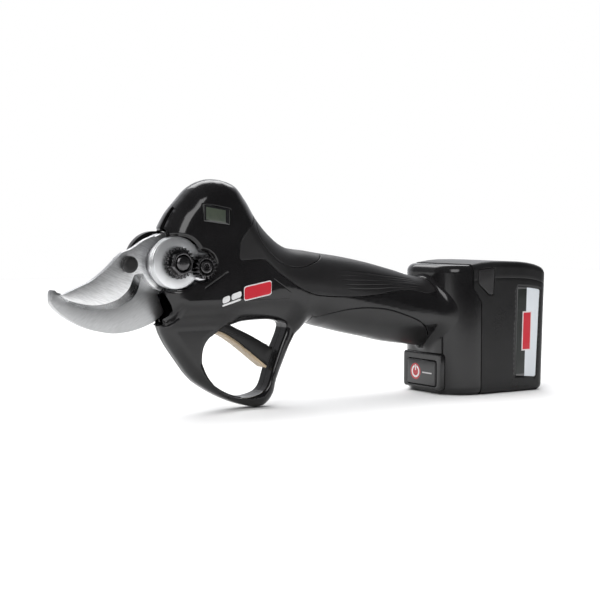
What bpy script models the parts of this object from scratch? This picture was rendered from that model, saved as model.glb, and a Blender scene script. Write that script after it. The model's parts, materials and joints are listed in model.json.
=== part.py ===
"""Battery electric pruner: pistol-shaped housing, geared blade head, trigger and slide-off battery.

Lengths below are millimetres in the side view: x runs from the blade tip back to the battery,
y from the left side (negative) to the right, z up from the surface it stands on.
"""
import math

import bmesh
import bpy
import numpy as np
from mathutils import Matrix, Vector
from mathutils.geometry import delaunay_2d_cdt

# ---------------------------------------------------------------- driving dimensions
MM = 0.001
X_SHIFT = -1.45                  # moves the middle of the length onto the origin
GAP = 0.3                        # clearance between touching pieces
PIVOT = (-93.0, 84.2)            # blade pivot, x and z
AXIS_TILT = math.radians(-10.7)  # motor axis runs back and down from the pivot

HEAD_HALF_WIDTH = 17.5
HANDLE_HALF_WIDTH = 19.5
GUARD_HALF_WIDTH = 7.5
HEAD_EDGE = 12.0                 # edge rounding of head, handle and guard
HANDLE_EDGE = 20.0
GUARD_EDGE = 3.2
SEAM = 0.15                      # half of the gap between the two housing halves
PAD_DEPTH = 1.2                  # soft grip thickness
RECESS_DEPTH = 1.5
WALL = 3.0
HANDLE_END = 96.0

GEAR_MODULE = 1.25               # bevel set that swings the blade
SECTOR_TEETH = 40
PINION_TEETH = 9
SECTOR_RADIUS = GEAR_MODULE * SECTOR_TEETH / 2
CONE_SLOPE = PINION_TEETH / SECTOR_TEETH
PLANET_MODULE = 0.55             # planetary stage
SUN_TEETH, PLANET_TEETH, RING_TEETH = 12, 15, 42
GEARBOX_RADIUS = 13.8
ORBIT = PLANET_MODULE * (SUN_TEETH + PLANET_TEETH) / 2

BATTERY_TOP = 82.0
HOLDER_TOP = 80.0
SIDE = 30.0                      # half width of holder and battery
BATTERY_BACK = 162.5
PARTING = 107.8                  # face between holder and battery

# ---------------------------------------------------------------- side view outlines
TOP_LINE = [(96, 69.6), (87, 71.2), (71.3, 74.2), (58.3, 77.8), (40.5, 82.2), (22.6, 85.7), (5.5, 88.2),
            (-3.1, 89.6), (-18.4, 92.1), (-29.5, 99.4), (-38.3, 108.5), (-45.9, 119.6), (-53.4, 127.6),
            (-65.2, 130.2), (-76, 126.7), (-84.7, 118.4), (-91.8, 110), (-97, 99.5)]
FRONT_LINE = [(-99.2, 88), (-99.6, 72), (-99, 60), (-98.3, 50), (-94.8, 41), (-87, 29.6), (-78.3, 18.8),
              (-67.8, 11.5), (-57.1, 6.1), (-46.3, 2.3), (-35.3, 0.2), (-29.7, 2.2), (-25.2, 7.6),
              (-23, 15.3), (-18.5, 25.6), (-12.8, 37), (-5.6, 46.6)]
BOTTOM_LINE = [(5.5, 44.9), (22.7, 40.8), (40.7, 36.9), (54, 33.8), (71.5, 31.2), (87, 29), (96, 27.6)]
WINDOW_LINE = [(-73, 30.2), (-70.9, 38.5), (-62.5, 45.6), (-50.7, 49.7), (-39.9, 50.7), (-28, 50.4),
               (-19, 48.2), (-18.6, 43.5), (-22.6, 34.4), (-27.2, 22.5), (-31.7, 11.1), (-40.3, 7.2),
               (-50.9, 7.4), (-61.6, 12), (-68.4, 18.8), (-72, 25.5)]
CAVITY_LINE = [(102, 65.6), (83, 68.3), (58, 74.6), (22, 82.6), (-3.5, 86.4), (-19.5, 88.8), (-31.5, 96.4),
               (-41, 106), (-49, 115.5), (-57, 119.3), (-76, 119.3), (-83, 114), (-89, 106), (-94, 97),
               (-95.6, 84), (-95, 60), (-91, 55), (-76, 54.2), (-40, 54.4), (-14, 53), (5, 48.3),
               (22, 44.2), (40, 40.4), (58, 36.4), (83, 32.8), (102, 30.4)]
THUMB_REST = [(-30, 118), (-37, 111), (-42, 106), (-42.8, 100.9), (-40.5, 95.5), (-36.0, 89.3), (-30.2, 84.5),
              (-22.1, 81.2), (-13.9, 80.8), (-5.7, 82.7), (1.5, 85.4), (7, 90), (9, 100)]
GRIP_AREA = [(-42, 122), (-43, 111), (-49.5, 102.3), (-54, 96.3), (-55.3, 90.2), (-54.6, 85.5), (-46, 85.4),
             (-39.7, 85.3), (-35, 81.8), (-30.2, 77.6), (-23.7, 73.4), (-17.2, 69.1), (-7.3, 65),
             (2.7, 63.6), (15.4, 62.9), (26, 62.8), (38, 63.6), (51, 65.4), (65, 65.3), (76, 63.2),
             (82, 63.6), (84.2, 67), (84.2, 95), (30, 105)]
PALM_AREA = [(-4.5, 50.6), (-1.5, 51.2), (11.2, 54.2), (21.4, 55.6), (32.7, 55.7),
             (44.2, 54.4), (55, 51.5), (68.4, 46.5), (77, 40.5), (82.5, 34), (84.2, 24), (40, 20), (0, 30)]
TRIGGER_HINGE = (-73.0, 50.5)
TRIGGER_FACE = [(-64.5, 44.6), (-58, 42), (-50, 37), (-42, 30.9), (-36, 26.2), (-31.2, 22.6)]
TRIGGER_BACK = [(-26.2, 33.4), (-33, 37.4), (-42, 42.3), (-52.3, 47.2), (-62, 52.4), (-68, 54)]
DISPLAY = [(-78.0, 106.5), (-61.0, 104.3), (-61.0, 113.4), (-78.0, 116.4)]
CUTTING_EDGE = [(-154.9, 67.3), (-148.9, 63.3), (-142.7, 60.6), (-135.1, 59.2), (-128.1, 59.3),
                (-123.1, 60.1), (-117.4, 62.2), (-112.3, 65.3), (-109.4, 69.9), (-108.3, 74.4)]
BEVEL_LINE = [(-155.1, 67.6), (-150.4, 64.9), (-141.5, 62.6), (-134.6, 62.2), (-129, 63.0),
              (-123.3, 64.8), (-119.1, 67.7), (-116.2, 70.9), (-114.3, 75.4), (-113, 78.0)]
BLADE_SPINE = [(-101.5, 98.8), (-107.3, 96.5), (-114.6, 92), (-120.3, 89.8), (-126, 84.7), (-130.9, 80.3),
               (-137.9, 75.3), (-146.9, 71.4), (-151.7, 69.3), (-155.1, 68.1)]
HOOK_OUTSIDE = [(-155.9, 69.4), (-157.4, 70.6), (-159.2, 69.9), (-159.6, 64.2), (-156.9, 60.3),
                (-152.2, 56.3), (-145.4, 52.2), (-138.5, 49.3), (-131.6, 47.4), (-124.5, 46.2),
                (-117.4, 46.4), (-110.1, 47.7), (-102.8, 50.1), (-98.4, 52.4), (-93.8, 56.4),
                (-95.2, 61), (-97.4, 66.9)]
HOOK_INSIDE = [(-109.0, 83), (-110.5, 77), (-116, 71.5), (-123, 67.6), (-131, 65.8), (-140, 65.8),
               (-149, 67.2)]
STOP_PIN = (-117.0, 83.5)
LOCK_PINION = (-78.8, 82.0)
JAW_SCREWS = [(-84.0, 78.0), (-99.5, 93.5)]
# name, place in the side view, and y of the underside of the head
HOUSING_SCREWS = [("housing_screw_top", (-66.0, 124.2), 9.0), ("housing_screw_front", (-86.0, 46.0), 3.4),
                  ("housing_screw_rear", (-17.4, 36.6), 3.4)]


# ---------------------------------------------------------------- materials
def material(name, colour, roughness, metallic=0.0):
    made = bpy.data.materials.new(name)
    made.use_nodes = True
    shader = made.node_tree.nodes["Principled BSDF"]
    shader.inputs["Base Color"].default_value = (*colour, 1.0)
    shader.inputs["Roughness"].default_value = roughness
    shader.inputs["Metallic"].default_value = metallic
    return made


def make_materials():
    return {
        "gloss_plastic": material("gloss_plastic", (0.010, 0.010, 0.011), 0.18),
        "satin_plastic": material("satin_plastic", (0.014, 0.014, 0.015), 0.38),
        "soft_grip": material("soft_grip", (0.020, 0.020, 0.021), 0.62),
        "blade_steel": material("blade_steel", (0.62, 0.64, 0.67), 0.28, 1.0),
        "dark_steel": material("dark_steel", (0.06, 0.06, 0.065), 0.35, 1.0),
        "aluminium": material("aluminium", (0.80, 0.81, 0.82), 0.25, 1.0),
        "rubber": material("rubber", (0.015, 0.015, 0.015), 0.7),
        "display": material("display", (0.20, 0.25, 0.20), 0.2),
        "board": material("board", (0.02, 0.12, 0.05), 0.5),
        "cell_wrap": material("cell_wrap", (0.03, 0.20, 0.45), 0.4),
        "copper": material("copper", (0.72, 0.42, 0.25), 0.35, 1.0),
        "cream": material("cream", (0.62, 0.54, 0.42), 0.55),
        "label": material("label", (0.80, 0.80, 0.78), 0.45),
    }


# ---------------------------------------------------------------- plane geometry
def circle(centre, radius, count, start=0.0):
    angles = start + np.arange(count) * 2 * np.pi / count
    return [(centre[0] + radius * math.cos(a), centre[1] + radius * math.sin(a)) for a in angles]


def arc(centre, radius, first, last, count):
    """Points from angle first to angle last, in degrees, both ends included."""
    angles = np.radians(np.linspace(first, last, count))
    return [(centre[0] + radius * math.cos(a), centre[1] + radius * math.sin(a)) for a in angles]


def rounded_box(x0, x1, y0, y1, radius, count=5):
    corners = [((x1 - radius, y1 - radius), 0), ((x0 + radius, y1 - radius), 90),
               ((x0 + radius, y0 + radius), 180), ((x1 - radius, y0 + radius), 270)]
    return [p for centre, start in corners for p in arc(centre, radius, start, start + 90, count)]


def spline(points, spacing, closed=False):
    """Catmull-Rom curve through the points, sampled about every spacing."""
    p = np.array(points, float)
    if closed:
        p = np.vstack([p[-1], p, p[0], p[1]])
    else:
        p = np.vstack([2 * p[0] - p[1], p, 2 * p[-1] - p[-2]])
    curve = []
    for a, b, c, d in zip(p, p[1:], p[2:], p[3:]):
        steps = max(1, round(np.linalg.norm(c - b) / spacing))
        t = (np.arange(steps) / steps)[:, None]
        curve.append(0.5 * (2 * b + (c - a) * t + (2 * a - 5 * b + 4 * c - d) * t ** 2
                            + (3 * b - a - 3 * c + d) * t ** 3))
    curve = np.vstack(curve)
    return curve if closed else np.vstack([curve, p[-2]])


def offset(points, distance, closed=True):
    """Moves a line sideways, to the left of its direction."""
    p = np.array(points, float)
    along = np.roll(p, -1, 0) - np.roll(p, 1, 0)
    if not closed:
        along[0], along[-1] = p[1] - p[0], p[-1] - p[-2]
    along /= np.linalg.norm(along, axis=1)[:, None]
    return p + distance * np.stack([-along[:, 1], along[:, 0]], 1)


def segment_distance(points, starts, ends):
    """Shortest distance from each point to any of the segments."""
    p = np.array(points, float)[:, None, :]
    span = (ends - starts)[None]
    t = np.clip(((p - starts[None]) * span).sum(2) / (span ** 2).sum(2), 0, 1)
    return np.linalg.norm(p - starts[None] - t[..., None] * span, axis=2).min(1)


def inside(points, loops):
    """True where a point is within the first loop and outside the others."""
    x, z = np.array(points, float).T[:, :, None]
    odd = np.zeros(len(points), bool)
    for loop in loops:
        a = np.array(loop, float)
        b = np.roll(a, -1, 0)
        crosses = (a[None, :, 1] > z) != (b[None, :, 1] > z)
        rise = np.where(b[:, 1] == a[:, 1], 1.0, b[:, 1] - a[:, 1])
        where = (b[:, 0] - a[:, 0]) * (z - a[:, 1]) / rise + a[:, 0]
        odd ^= (crosses & (x < where)).sum(1) % 2 == 1
    return odd


def fill(loops, extra=()):
    """Triangles over the area between the loops, as indices into the loops' points and extra."""
    points = [tuple(p) for loop in loops for p in loop] + [tuple(p) for p in extra]
    edges = []
    start = 0
    for loop in loops:
        count = len(loop)
        edges += [(start + i, start + (i + 1) % count) for i in range(count)]
        start += count
    placed, _, faces, origin, _, _ = delaunay_2d_cdt([Vector(p) for p in points], edges, [], 0, 1e-6)
    middles = [sum((placed[i] for i in face), Vector((0, 0))) / 3 for face in faces]
    keep = inside([tuple(m) for m in middles], loops)
    return [[origin[i][0] for i in face] for face, kept in zip(faces, keep) if kept]


# ---------------------------------------------------------------- frames that place a flat shape
def across(u, v, t):
    """Flat shape in the side view, thickness along y."""
    return (u, t, v)


def upward(u, v, t):
    """Flat shape in plan, thickness along z."""
    return (u, v, t)


def lengthwise(u, v, t):
    """Flat shape seen from the front, thickness along x."""
    return (t, u, v)


def on_motor_axis(u, v, t):
    """Flat shape square to the motor axis; t is the distance behind the blade pivot."""
    along = (math.cos(AXIS_TILT), math.sin(AXIS_TILT))
    return (PIVOT[0] + t * along[0] - v * along[1], u, PIVOT[1] + t * along[1] + v * along[0])


# ---------------------------------------------------------------- meshes
class Assembly:
    """Holds the materials and makes one object for each piece."""

    def __init__(self):
        self.materials = make_materials()

    def piece(self, name, verts, faces, finish=None, axis=None):
        """One closed mesh; its origin lies at axis, where the piece turns or slides."""
        origin = Vector((X_SHIFT * MM, 0, 0)) if axis is None else world(axis)
        mesh = bpy.data.meshes.new(name)
        mesh.from_pydata([world(v) - origin for v in verts], [], faces)
        work = bmesh.new()
        work.from_mesh(mesh)
        bmesh.ops.remove_doubles(work, verts=work.verts, dist=1e-7)
        bmesh.ops.recalc_face_normals(work, faces=work.faces)
        work.to_mesh(mesh)
        work.free()
        made = bpy.data.objects.new(name, mesh)
        made.location = origin
        bpy.context.scene.collection.objects.link(made)
        if finish:
            mesh.materials.append(self.materials[finish])
            mesh.shade_smooth()
            mesh.set_sharp_from_angle(angle=math.radians(35))
        else:
            made.hide_render = True
            made.display_type = "WIRE"
        return made

    def plate(self, name, loops, low, high, frame=across, finish=None, axis=None, top=None):
        """Flat shape with holes, of even thickness; top, where given, is the loops of its high face."""
        top = top or loops
        flat = [p for loop in loops for p in loop]
        raised = [p for loop in top for p in loop]
        count = len(flat)
        verts = [frame(u, v, low) for u, v in flat] + [frame(u, v, high) for u, v in raised]
        faces = [list(reversed(f)) for f in fill(loops)]
        faces += [[i + count for i in f] for f in fill(top)]
        start = 0
        for loop in loops:
            size = len(loop)
            for i in range(size):
                a, b = start + i, start + (i + 1) % size
                faces.append([a, b, b + count, a + count])
            start += size
        return self.piece(name, verts, faces, finish, axis)

    def turned(self, name, profile, centre=(0, 0), frame=across, finish=None, axis=None, steps=24):
        """Turns a closed (radius, height) profile; points on the axis become one vertex."""
        verts, rings = [], []
        for radius, height in profile:
            if radius < 1e-6:
                rings.append([len(verts)] * steps)
                verts.append(frame(centre[0], centre[1], height))
                continue
            rings.append(list(range(len(verts), len(verts) + steps)))
            verts += [frame(u, v, height) for u, v in circle(centre, radius, steps)]
        faces = []
        for ring, following in zip(rings, rings[1:] + rings[:1]):
            for i in range(steps):
                j = (i + 1) % steps
                corners = list(dict.fromkeys([ring[i], ring[j], following[j], following[i]]))
                if len(corners) > 2:
                    faces.append(corners)
        return self.piece(name, verts, faces, finish, axis)

    def loft(self, name, sections, finish=None, axis=None):
        """Joins point rings of equal length in order and closes both ends."""
        size = len(sections[0])
        verts = [p for section in sections for p in section]
        faces = [list(range(size)), list(range(len(verts) - size, len(verts)))]
        for k in range(len(sections) - 1):
            for i in range(size):
                a, b = k * size + i, k * size + (i + 1) % size
                faces.append([a, b, b + size, a + size])
        return self.piece(name, verts, faces, finish, axis)


def world(point):
    return Vector(((point[0] + X_SHIFT) * MM, point[1] * MM, point[2] * MM))


def combine(target, tool, operation):
    """Adds a Boolean; the tool stays a hidden guide."""
    tool.hide_render = True
    tool.display_type = "WIRE"
    change = target.modifiers.new(operation.lower(), "BOOLEAN")
    change.operation = operation
    change.solver = "EXACT"
    change.object = tool
    return target


def cut(target, *tools):
    for tool in tools:
        combine(target, tool, "DIFFERENCE")
    return target


# ---------------------------------------------------------------- housing surface
def ease(t):
    t = np.clip(t, 0, 1)
    return t * t * (3 - 2 * t)


def body_blend(points):
    """0 in the slim trigger guard, 1 in the full-width head and handle."""
    x, z = points.T
    line = 47 - 17 * ease((x + 22) / 24)
    return ease((z - line) / 16)


def half_width(points):
    full = HEAD_HALF_WIDTH + (HANDLE_HALF_WIDTH - HEAD_HALF_WIDTH) * ease((points[:, 0] + 60) / 40)
    return GUARD_HALF_WIDTH + (full - GUARD_HALF_WIDTH) * body_blend(points)


def edge_radius(points):
    full = HEAD_EDGE + (HANDLE_EDGE - HEAD_EDGE) * ease((points[:, 0] + 60) / 40)
    return GUARD_EDGE + (full - GUARD_EDGE) * body_blend(points)


class BodyShape:
    """Pillow-shaped solid over a side outline: the width falls off elliptically at its edge."""

    def __init__(self, rim, window, inset, end_x):
        self.inset = inset
        rim = offset(rim, inset, closed=False)
        rim[0, 0] = rim[-1, 0] = end_x
        self.window = [] if window is None else offset(window, inset)
        heights = np.linspace(rim[-1, 1], rim[0, 1], 10)[1:-1]
        end = np.stack([np.full(len(heights), end_x), heights], 1)
        self.rim_count = len(rim)
        self.outer = np.vstack([rim, end])
        edges = [(rim[:-1], rim[1:])]
        if window is not None:
            edges.append((self.window, np.roll(self.window, -1, 0)))
        self.starts = np.vstack([a for a, _ in edges])
        self.ends = np.vstack([b for _, b in edges])
        self.loops = [self.outer] + ([self.window] if window is not None else [])
        self.inner = self.spread()

    def width(self, points):
        points = np.array(points, float)
        radius = np.maximum(edge_radius(points) - self.inset, 0.8)
        depth = np.minimum(segment_distance(points, self.starts, self.ends) / radius, 1)
        return (half_width(points) - self.inset) * np.sqrt(1 - (1 - depth) ** 2)

    def spread(self):
        """Inner points: rings that follow the outline, then an even grid."""
        taken = []
        lines = [self.outer[:self.rim_count]] + ([self.window] if len(self.window) else [])
        for share in (0.14, 0.5, 1.0):
            for k, line in enumerate(lines):
                reach = np.maximum((edge_radius(line) - self.inset) * share, 0.5)[:, None]
                moved = line + reach * (offset(line, 1.0, closed=k > 0) - line)
                step = 1 if share < 0.9 else 2
                self.accept(taken, moved[::step], reach[::step, 0] * 0.9, 2.0 + 4.0 * share)
        low, high = self.outer.min(0), self.outer.max(0)
        grid = np.stack(np.meshgrid(np.arange(low[0] + 4, high[0], 9),
                                    np.arange(low[1] + 4, high[1], 9)), -1).reshape(-1, 2)
        self.accept(taken, grid, np.full(len(grid), 3.0), 6.0)
        return np.array(taken)

    def accept(self, taken, points, reach, spacing):
        clear = inside(points, self.loops)
        clear &= segment_distance(points, self.starts, self.ends) > reach
        clear &= points[:, 0] < self.outer[:, 0].max() - 1.5
        for point in points[clear]:
            if not taken or np.min(np.linalg.norm(np.array(taken) - point, axis=1)) > spacing:
                taken.append(point)

    def mesh(self, side):
        """side -1 or 1 makes one half with a flat face near y = 0, 0 makes the whole."""
        loop_points = np.vstack(self.loops)
        is_end = np.zeros(len(loop_points), bool)
        is_end[self.rim_count:len(self.outer)] = True
        sheets = [(self.inner, side or -1, True), (self.inner if not side else [], 1, not side)]
        verts = [(x, side * SEAM, z) for x, z in loop_points]
        faces, end_rows = [], []
        for extra, sign, curved in sheets:
            index = {}
            for i in np.flatnonzero(is_end):
                index[i] = len(verts)
                x, z = loop_points[i]
                y = sign * self.width([(x, z)])[0] if curved else side * SEAM
                verts.append((x, y, z))
            for i, (x, z) in enumerate(extra):
                index[len(loop_points) + i] = len(verts)
                verts.append((x, sign * max(self.width([(x, z)])[0], 2 * SEAM), z))
            faces += [[index.get(i, i) for i in face] for face in fill(self.loops, extra)]
            end_rows.append(index)
        border = list(range(self.rim_count - 1, len(self.outer))) + [0]
        for a, b in zip(border, border[1:]):
            first, second = end_rows
            corners = [first.get(a, a), first.get(b, b), second.get(b, b), second.get(a, a)]
            faces.append(list(dict.fromkeys(corners)))
        return verts, faces


def body_shape(inset, end_x=HANDLE_END):
    rim = spline(TOP_LINE + FRONT_LINE + BOTTOM_LINE, 7.0)
    rim[:, 1] = np.maximum(rim[:, 1], 0.0)
    return BodyShape(rim, spline(WINDOW_LINE, 7.0, closed=True)[::-1], inset, end_x)


# ---------------------------------------------------------------- housing and grips
def make_housing(kit):
    outer = body_shape(0.0)
    under_pads = kit.piece("guide_under_pads", *body_shape(RECESS_DEPTH, 100.0).mesh(0))
    pad_inner = kit.piece("guide_pad_inner", *body_shape(PAD_DEPTH, 100.0).mesh(0))
    cavity = kit.piece("guide_cavity", *CavityShape().mesh(0))
    recesses = []
    for name, area in (("guide_grip_recess", GRIP_AREA), ("guide_palm_recess", PALM_AREA)):
        grown = offset(spline(area, 12, closed=True), -GAP * turn(area))
        recesses.append(cut(kit.plate(name, [grown], -40, 40), under_pads))
    openings = head_openings(kit)
    for side, word in ((-1, "left"), (1, "right")):
        half = kit.piece(f"housing_{word}", *outer.mesh(side), "gloss_plastic")
        cut(half, cavity, *recesses, *openings[word])
    make_pads(kit, outer, pad_inner)


def turn(loop):
    """1 where the loop runs counter-clockwise, -1 where it runs clockwise."""
    p = np.array(loop, float)
    q = np.roll(p, -1, 0)
    return 1 if (p[:, 0] * q[:, 1] - q[:, 0] * p[:, 1]).sum() > 0 else -1


class CavityShape(BodyShape):
    """Room inside the housing, for motor, gears and boards."""

    def __init__(self):
        super().__init__(spline(CAVITY_LINE, 12.0), None, 0.0, 102.0)

    def width(self, points):
        points = np.array(points, float)
        radius = np.maximum(edge_radius(points) - WALL, 2.0)
        depth = np.minimum(segment_distance(points, self.starts, self.ends) / radius, 1)
        return (half_width(points) - WALL) * np.sqrt(1 - (1 - depth) ** 2)


def make_pads(kit, outer, pad_inner):
    thumb = spline(THUMB_REST, 12, closed=True)
    rest = kit.piece("thumb_rest", *outer.mesh(0), "soft_grip")
    combine(rest, kit.plate("guide_thumb", [thumb], -40, 40), "INTERSECT")
    cut(rest, pad_inner)
    around_thumb = kit.plate("guide_thumb_gap", [offset(thumb, -GAP * turn(thumb))], -41, 41)
    for side, word in ((-1, "left"), (1, "right")):
        low, high = sorted((side * SEAM, side * 40))
        for name, area in (("overmould", GRIP_AREA), ("palm_pad", PALM_AREA)):
            pad = kit.piece(f"{name}_{word}", *outer.mesh(side), "soft_grip")
            zone = kit.plate(f"guide_{name}_{word}", [spline(area, 12, closed=True)], low - 0.05, high + 0.05)
            combine(pad, zone, "INTERSECT")
            cut(pad, pad_inner)
            if name == "overmould":
                cut(pad, around_thumb)


def head_openings(kit):
    """Cutters for each housing half: head blocks, blades, display, trigger, pins and screws."""
    drum = kit.plate("guide_drum", [circle(PIVOT, 14.7, 40)], -40, -2)
    lock = kit.plate("guide_lock", [circle(LOCK_PINION, 8.4, 32)], -40, -9)
    boss = kit.plate("guide_boss", [circle(PIVOT, 14.2, 40)], 2, 40)
    boss_rim = kit.plate("guide_boss_rim", [circle(PIVOT, 17.4, 48)], 11.4, 40)
    mouth = kit.plate("guide_mouth", [circle(PIVOT, 30, 48)], -8.6, 5.4)
    jaw = kit.plate("guide_jaw", [[(-120, 49.5), (-92.5, 50.5), (-92.5, 75), (-120, 75)]], -4.4, 5.4)
    lens = kit.plate("guide_lens", [offset(DISPLAY, -GAP)], -40, -10)
    slot_line = [(-77.6, 47), (-78.2, 52), (-76, 55.6), (-70, 57.5), (-30, 57.5), (-22, 50), (-22, 44),
                 (-64, 38), (-71, 44.5)]
    slot = kit.plate("guide_trigger_slot", [slot_line], -6, 6)
    pin = kit.plate("guide_trigger_pin", [circle(TRIGGER_HINGE, 1.5 + GAP, 16)], -20, 20)
    screws = [kit.turned(f"guide_screw_{k}", screw_profile(head, GAP, 30), spot, steps=16)
              for k, (_, spot, head) in enumerate(HOUSING_SCREWS)]
    return {"left": [drum, lock, mouth, jaw, lens, slot, pin, *screws],
            "right": [boss, boss_rim, mouth, jaw, slot, pin, *screws]}


def screw_profile(under_head, clearance=0.0, head_top=None):
    top = under_head + 2.4 if head_top is None else head_top
    head, shank = 2.3 + clearance, 1.25 + clearance
    tip = under_head - 8.5 - clearance
    return [(0, tip), (shank, tip), (shank, under_head - clearance), (head, under_head - clearance),
            (head, top), (0, top)]


def make_housing_screws(kit):
    for name, spot, under_head in HOUSING_SCREWS:
        screw = kit.turned(name, screw_profile(under_head), spot, finish="dark_steel", steps=18)
        socket = kit.plate(f"guide_{name}_socket", [circle(spot, 1.2, 6)], under_head + 1.0, under_head + 4)
        cut(screw, socket)


# ---------------------------------------------------------------- blades
def make_blades(kit):
    here = (PIVOT[0], 0, PIVOT[1])
    hub = arc(PIVOT, 16.0, 118, -160, 30)
    holes = [circle(PIVOT, 6.5, 32)] + [circle(spot, 1.8, 14) for spot in drive_pin_spots() + [STOP_PIN]]
    back = hub[::-1] + BLADE_SPINE
    flat = CUTTING_EDGE + back
    bevelled = BEVEL_LINE + back
    kit.plate("moving_blade", [flat] + holes, -0.3, -4.0, finish="blade_steel", axis=here,
              top=[bevelled] + holes)
    hub_low = arc(PIVOT, 16.0, -98, 176, 30)
    screw_holes = [circle(spot, 1.9, 14) for spot in JAW_SCREWS]
    bolt_hole = circle(PIVOT, 4.4, 28)
    kit.plate("counter_blade", [HOOK_OUTSIDE + hub_low + HOOK_INSIDE, bolt_hole] + screw_holes, 0.0, 5.0,
              finish="blade_steel")
    for k, spot in enumerate(JAW_SCREWS):
        profile = [(0, 0.4), (1.6, 0.4), (1.6, 14.0), (0, 14.0)]
        kit.turned(f"counter_blade_screw_{k + 1}", profile, spot, finish="dark_steel", steps=14)
    pin = [(0, -7.9), (1.5, -7.9), (1.5, 3.5), (0, 3.5)]
    kit.turned("stop_pin", pin, STOP_PIN, finish="dark_steel", axis=here, steps=16)
    for word, near, far in (("left", -4.3, -8.3), ("right", 0.0, 9.0)):
        rounded = far + 0.8 * (1 if far < near else -1)
        knob = [(1.8, near), (4.5, near), (4.5, rounded), (3.7, far), (1.8, far)]
        kit.turned(f"stop_bumper_{word}", knob, STOP_PIN, finish="rubber", axis=here, steps=24)


def drive_pin_spots():
    return arc(PIVOT, 10.5, -25, 60, 2)


# ---------------------------------------------------------------- head blocks and pivot
def make_head(kit):
    behind = side_rectangle(6, 30.6, 12)
    drum = [(4.5, -8.6), (14.3, -8.6), (14.3, -14.9), (13.7, -15.5), (4.5, -15.5)]
    left = kit.turned("head_block_left", drum, PIVOT, finish="aluminium", steps=36)
    combine(left, kit.plate("guide_left_arm", [behind], -11.4, -8.7), "UNION")
    combine(left, kit.plate("guide_lock_boss", [circle(LOCK_PINION, 7.9, 32)], -15.0, -9.4), "UNION")
    cut(left, kit.plate("guide_left_bore", [circle(PIVOT, 4.5, 40)], -20, -5),
        kit.plate("guide_lock_bore", [circle(LOCK_PINION, 1.85, 16)], -20, -5))
    disc = [(4.5, 5.3), (13.8, 5.3), (13.8, 11.8), (17.0, 11.8), (17.0, 16.2), (16.4, 17.0), (4.5, 17.0)]
    right = kit.turned("head_block_right", disc, PIVOT, finish="satin_plastic", steps=36)
    combine(right, kit.plate("guide_right_arm", [behind], 8.6, 11.4), "UNION")
    cut(right, kit.plate("guide_right_bore", [circle(PIVOT, 4.5, 40)], 4, 20))
    for k, spot in enumerate(JAW_SCREWS):
        cut(right, kit.plate(f"guide_jaw_bore_{k}", [circle(spot, 1.9, 14)], 4, 14.4))
    bolt = [(0, -23.2), (3.5, -23.2), (4.0, -22.7), (4.0, 17.3), (8.2, 17.3), (8.2, 20.9), (7.6, 21.5),
            (0, 21.5)]
    kit.turned("pivot_bolt", bolt, PIVOT, finish="dark_steel", steps=32)
    cut(bpy.data.objects["pivot_bolt"],
        kit.plate("guide_bolt_socket", [circle(PIVOT, 3.4, 6)], 18.8, 23))
    bush = [(4.3, -8.0), (6.1, -8.0), (6.1, -0.5), (4.3, -0.5)]
    kit.turned("pivot_bush", bush, PIVOT, finish="copper", steps=28)
    make_lock(kit)


def side_rectangle(near, far, half):
    """Rectangle along the motor axis in the side view."""
    along = np.array([math.cos(AXIS_TILT), math.sin(AXIS_TILT)])
    over = np.array([-along[1], along[0]])
    centre = np.array(PIVOT)
    corners = ((near, -half), (far, -half), (far, half), (near, half))
    return [tuple(centre + s * along + n * over) for s, n in corners]


def make_lock(kit):
    """Toothed nut on the pivot bolt, held by a small pinion screwed to the head block."""
    towards = math.atan2(LOCK_PINION[1] - PIVOT[1], LOCK_PINION[0] - PIVOT[0])
    bore = circle(PIVOT, 4.35, 20)
    module = 2 * math.dist(LOCK_PINION, PIVOT) / (24 + 18)
    nut = kit.plate("lock_nut", [gear_line(PIVOT, 24, module, towards), bore], -18.6, -15.8,
                    finish="dark_steel")
    hexagon = kit.plate("guide_hexagon", [circle(PIVOT, 6.35, 6, 0.3), bore], -22.3, -18.0)
    combine(nut, hexagon, "UNION")
    gap = towards + math.pi + math.pi / 18
    pinion = kit.plate("lock_pinion", [gear_line(LOCK_PINION, 18, module, gap),
                                       circle(LOCK_PINION, 1.85, 14)], -22.0, -15.8, finish="dark_steel")
    cut(pinion, kit.plate("guide_lock_sink", [circle(LOCK_PINION, 3.8, 28)], -25, -18.6))
    screw = [(0, -22.3), (3.0, -22.3), (3.4, -21.9), (3.4, -18.9), (1.5, -18.9), (1.5, -9.2), (0, -9.2)]
    made = kit.turned("lock_screw", screw, LOCK_PINION, finish="dark_steel", steps=24)
    cut(made, kit.plate("guide_lock_socket", [circle(LOCK_PINION, 1.7, 6)], -25, -20.2))


# ---------------------------------------------------------------- gears
def gear_line(centre, teeth, module, phase=0.0, inner=False):
    """Outline of straight-sided teeth; phase is the angle of a tooth's middle."""
    pitch = 2 * math.pi / teeth
    radius = module * teeth / 2
    tip, root = radius + 0.85 * module, radius - 1.25 * module
    tip_half, root_half = 0.10, 0.29
    if inner:
        tip, root = radius - 0.85 * module, radius + 1.25 * module
    points = []
    for k in range(teeth):
        for reach, shift in ((root, -root_half), (tip, -tip_half), (tip, tip_half), (root, root_half)):
            angle = phase + (k + shift) * pitch
            points.append((centre[0] + reach * math.cos(angle), centre[1] + reach * math.sin(angle)))
    return points


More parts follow.
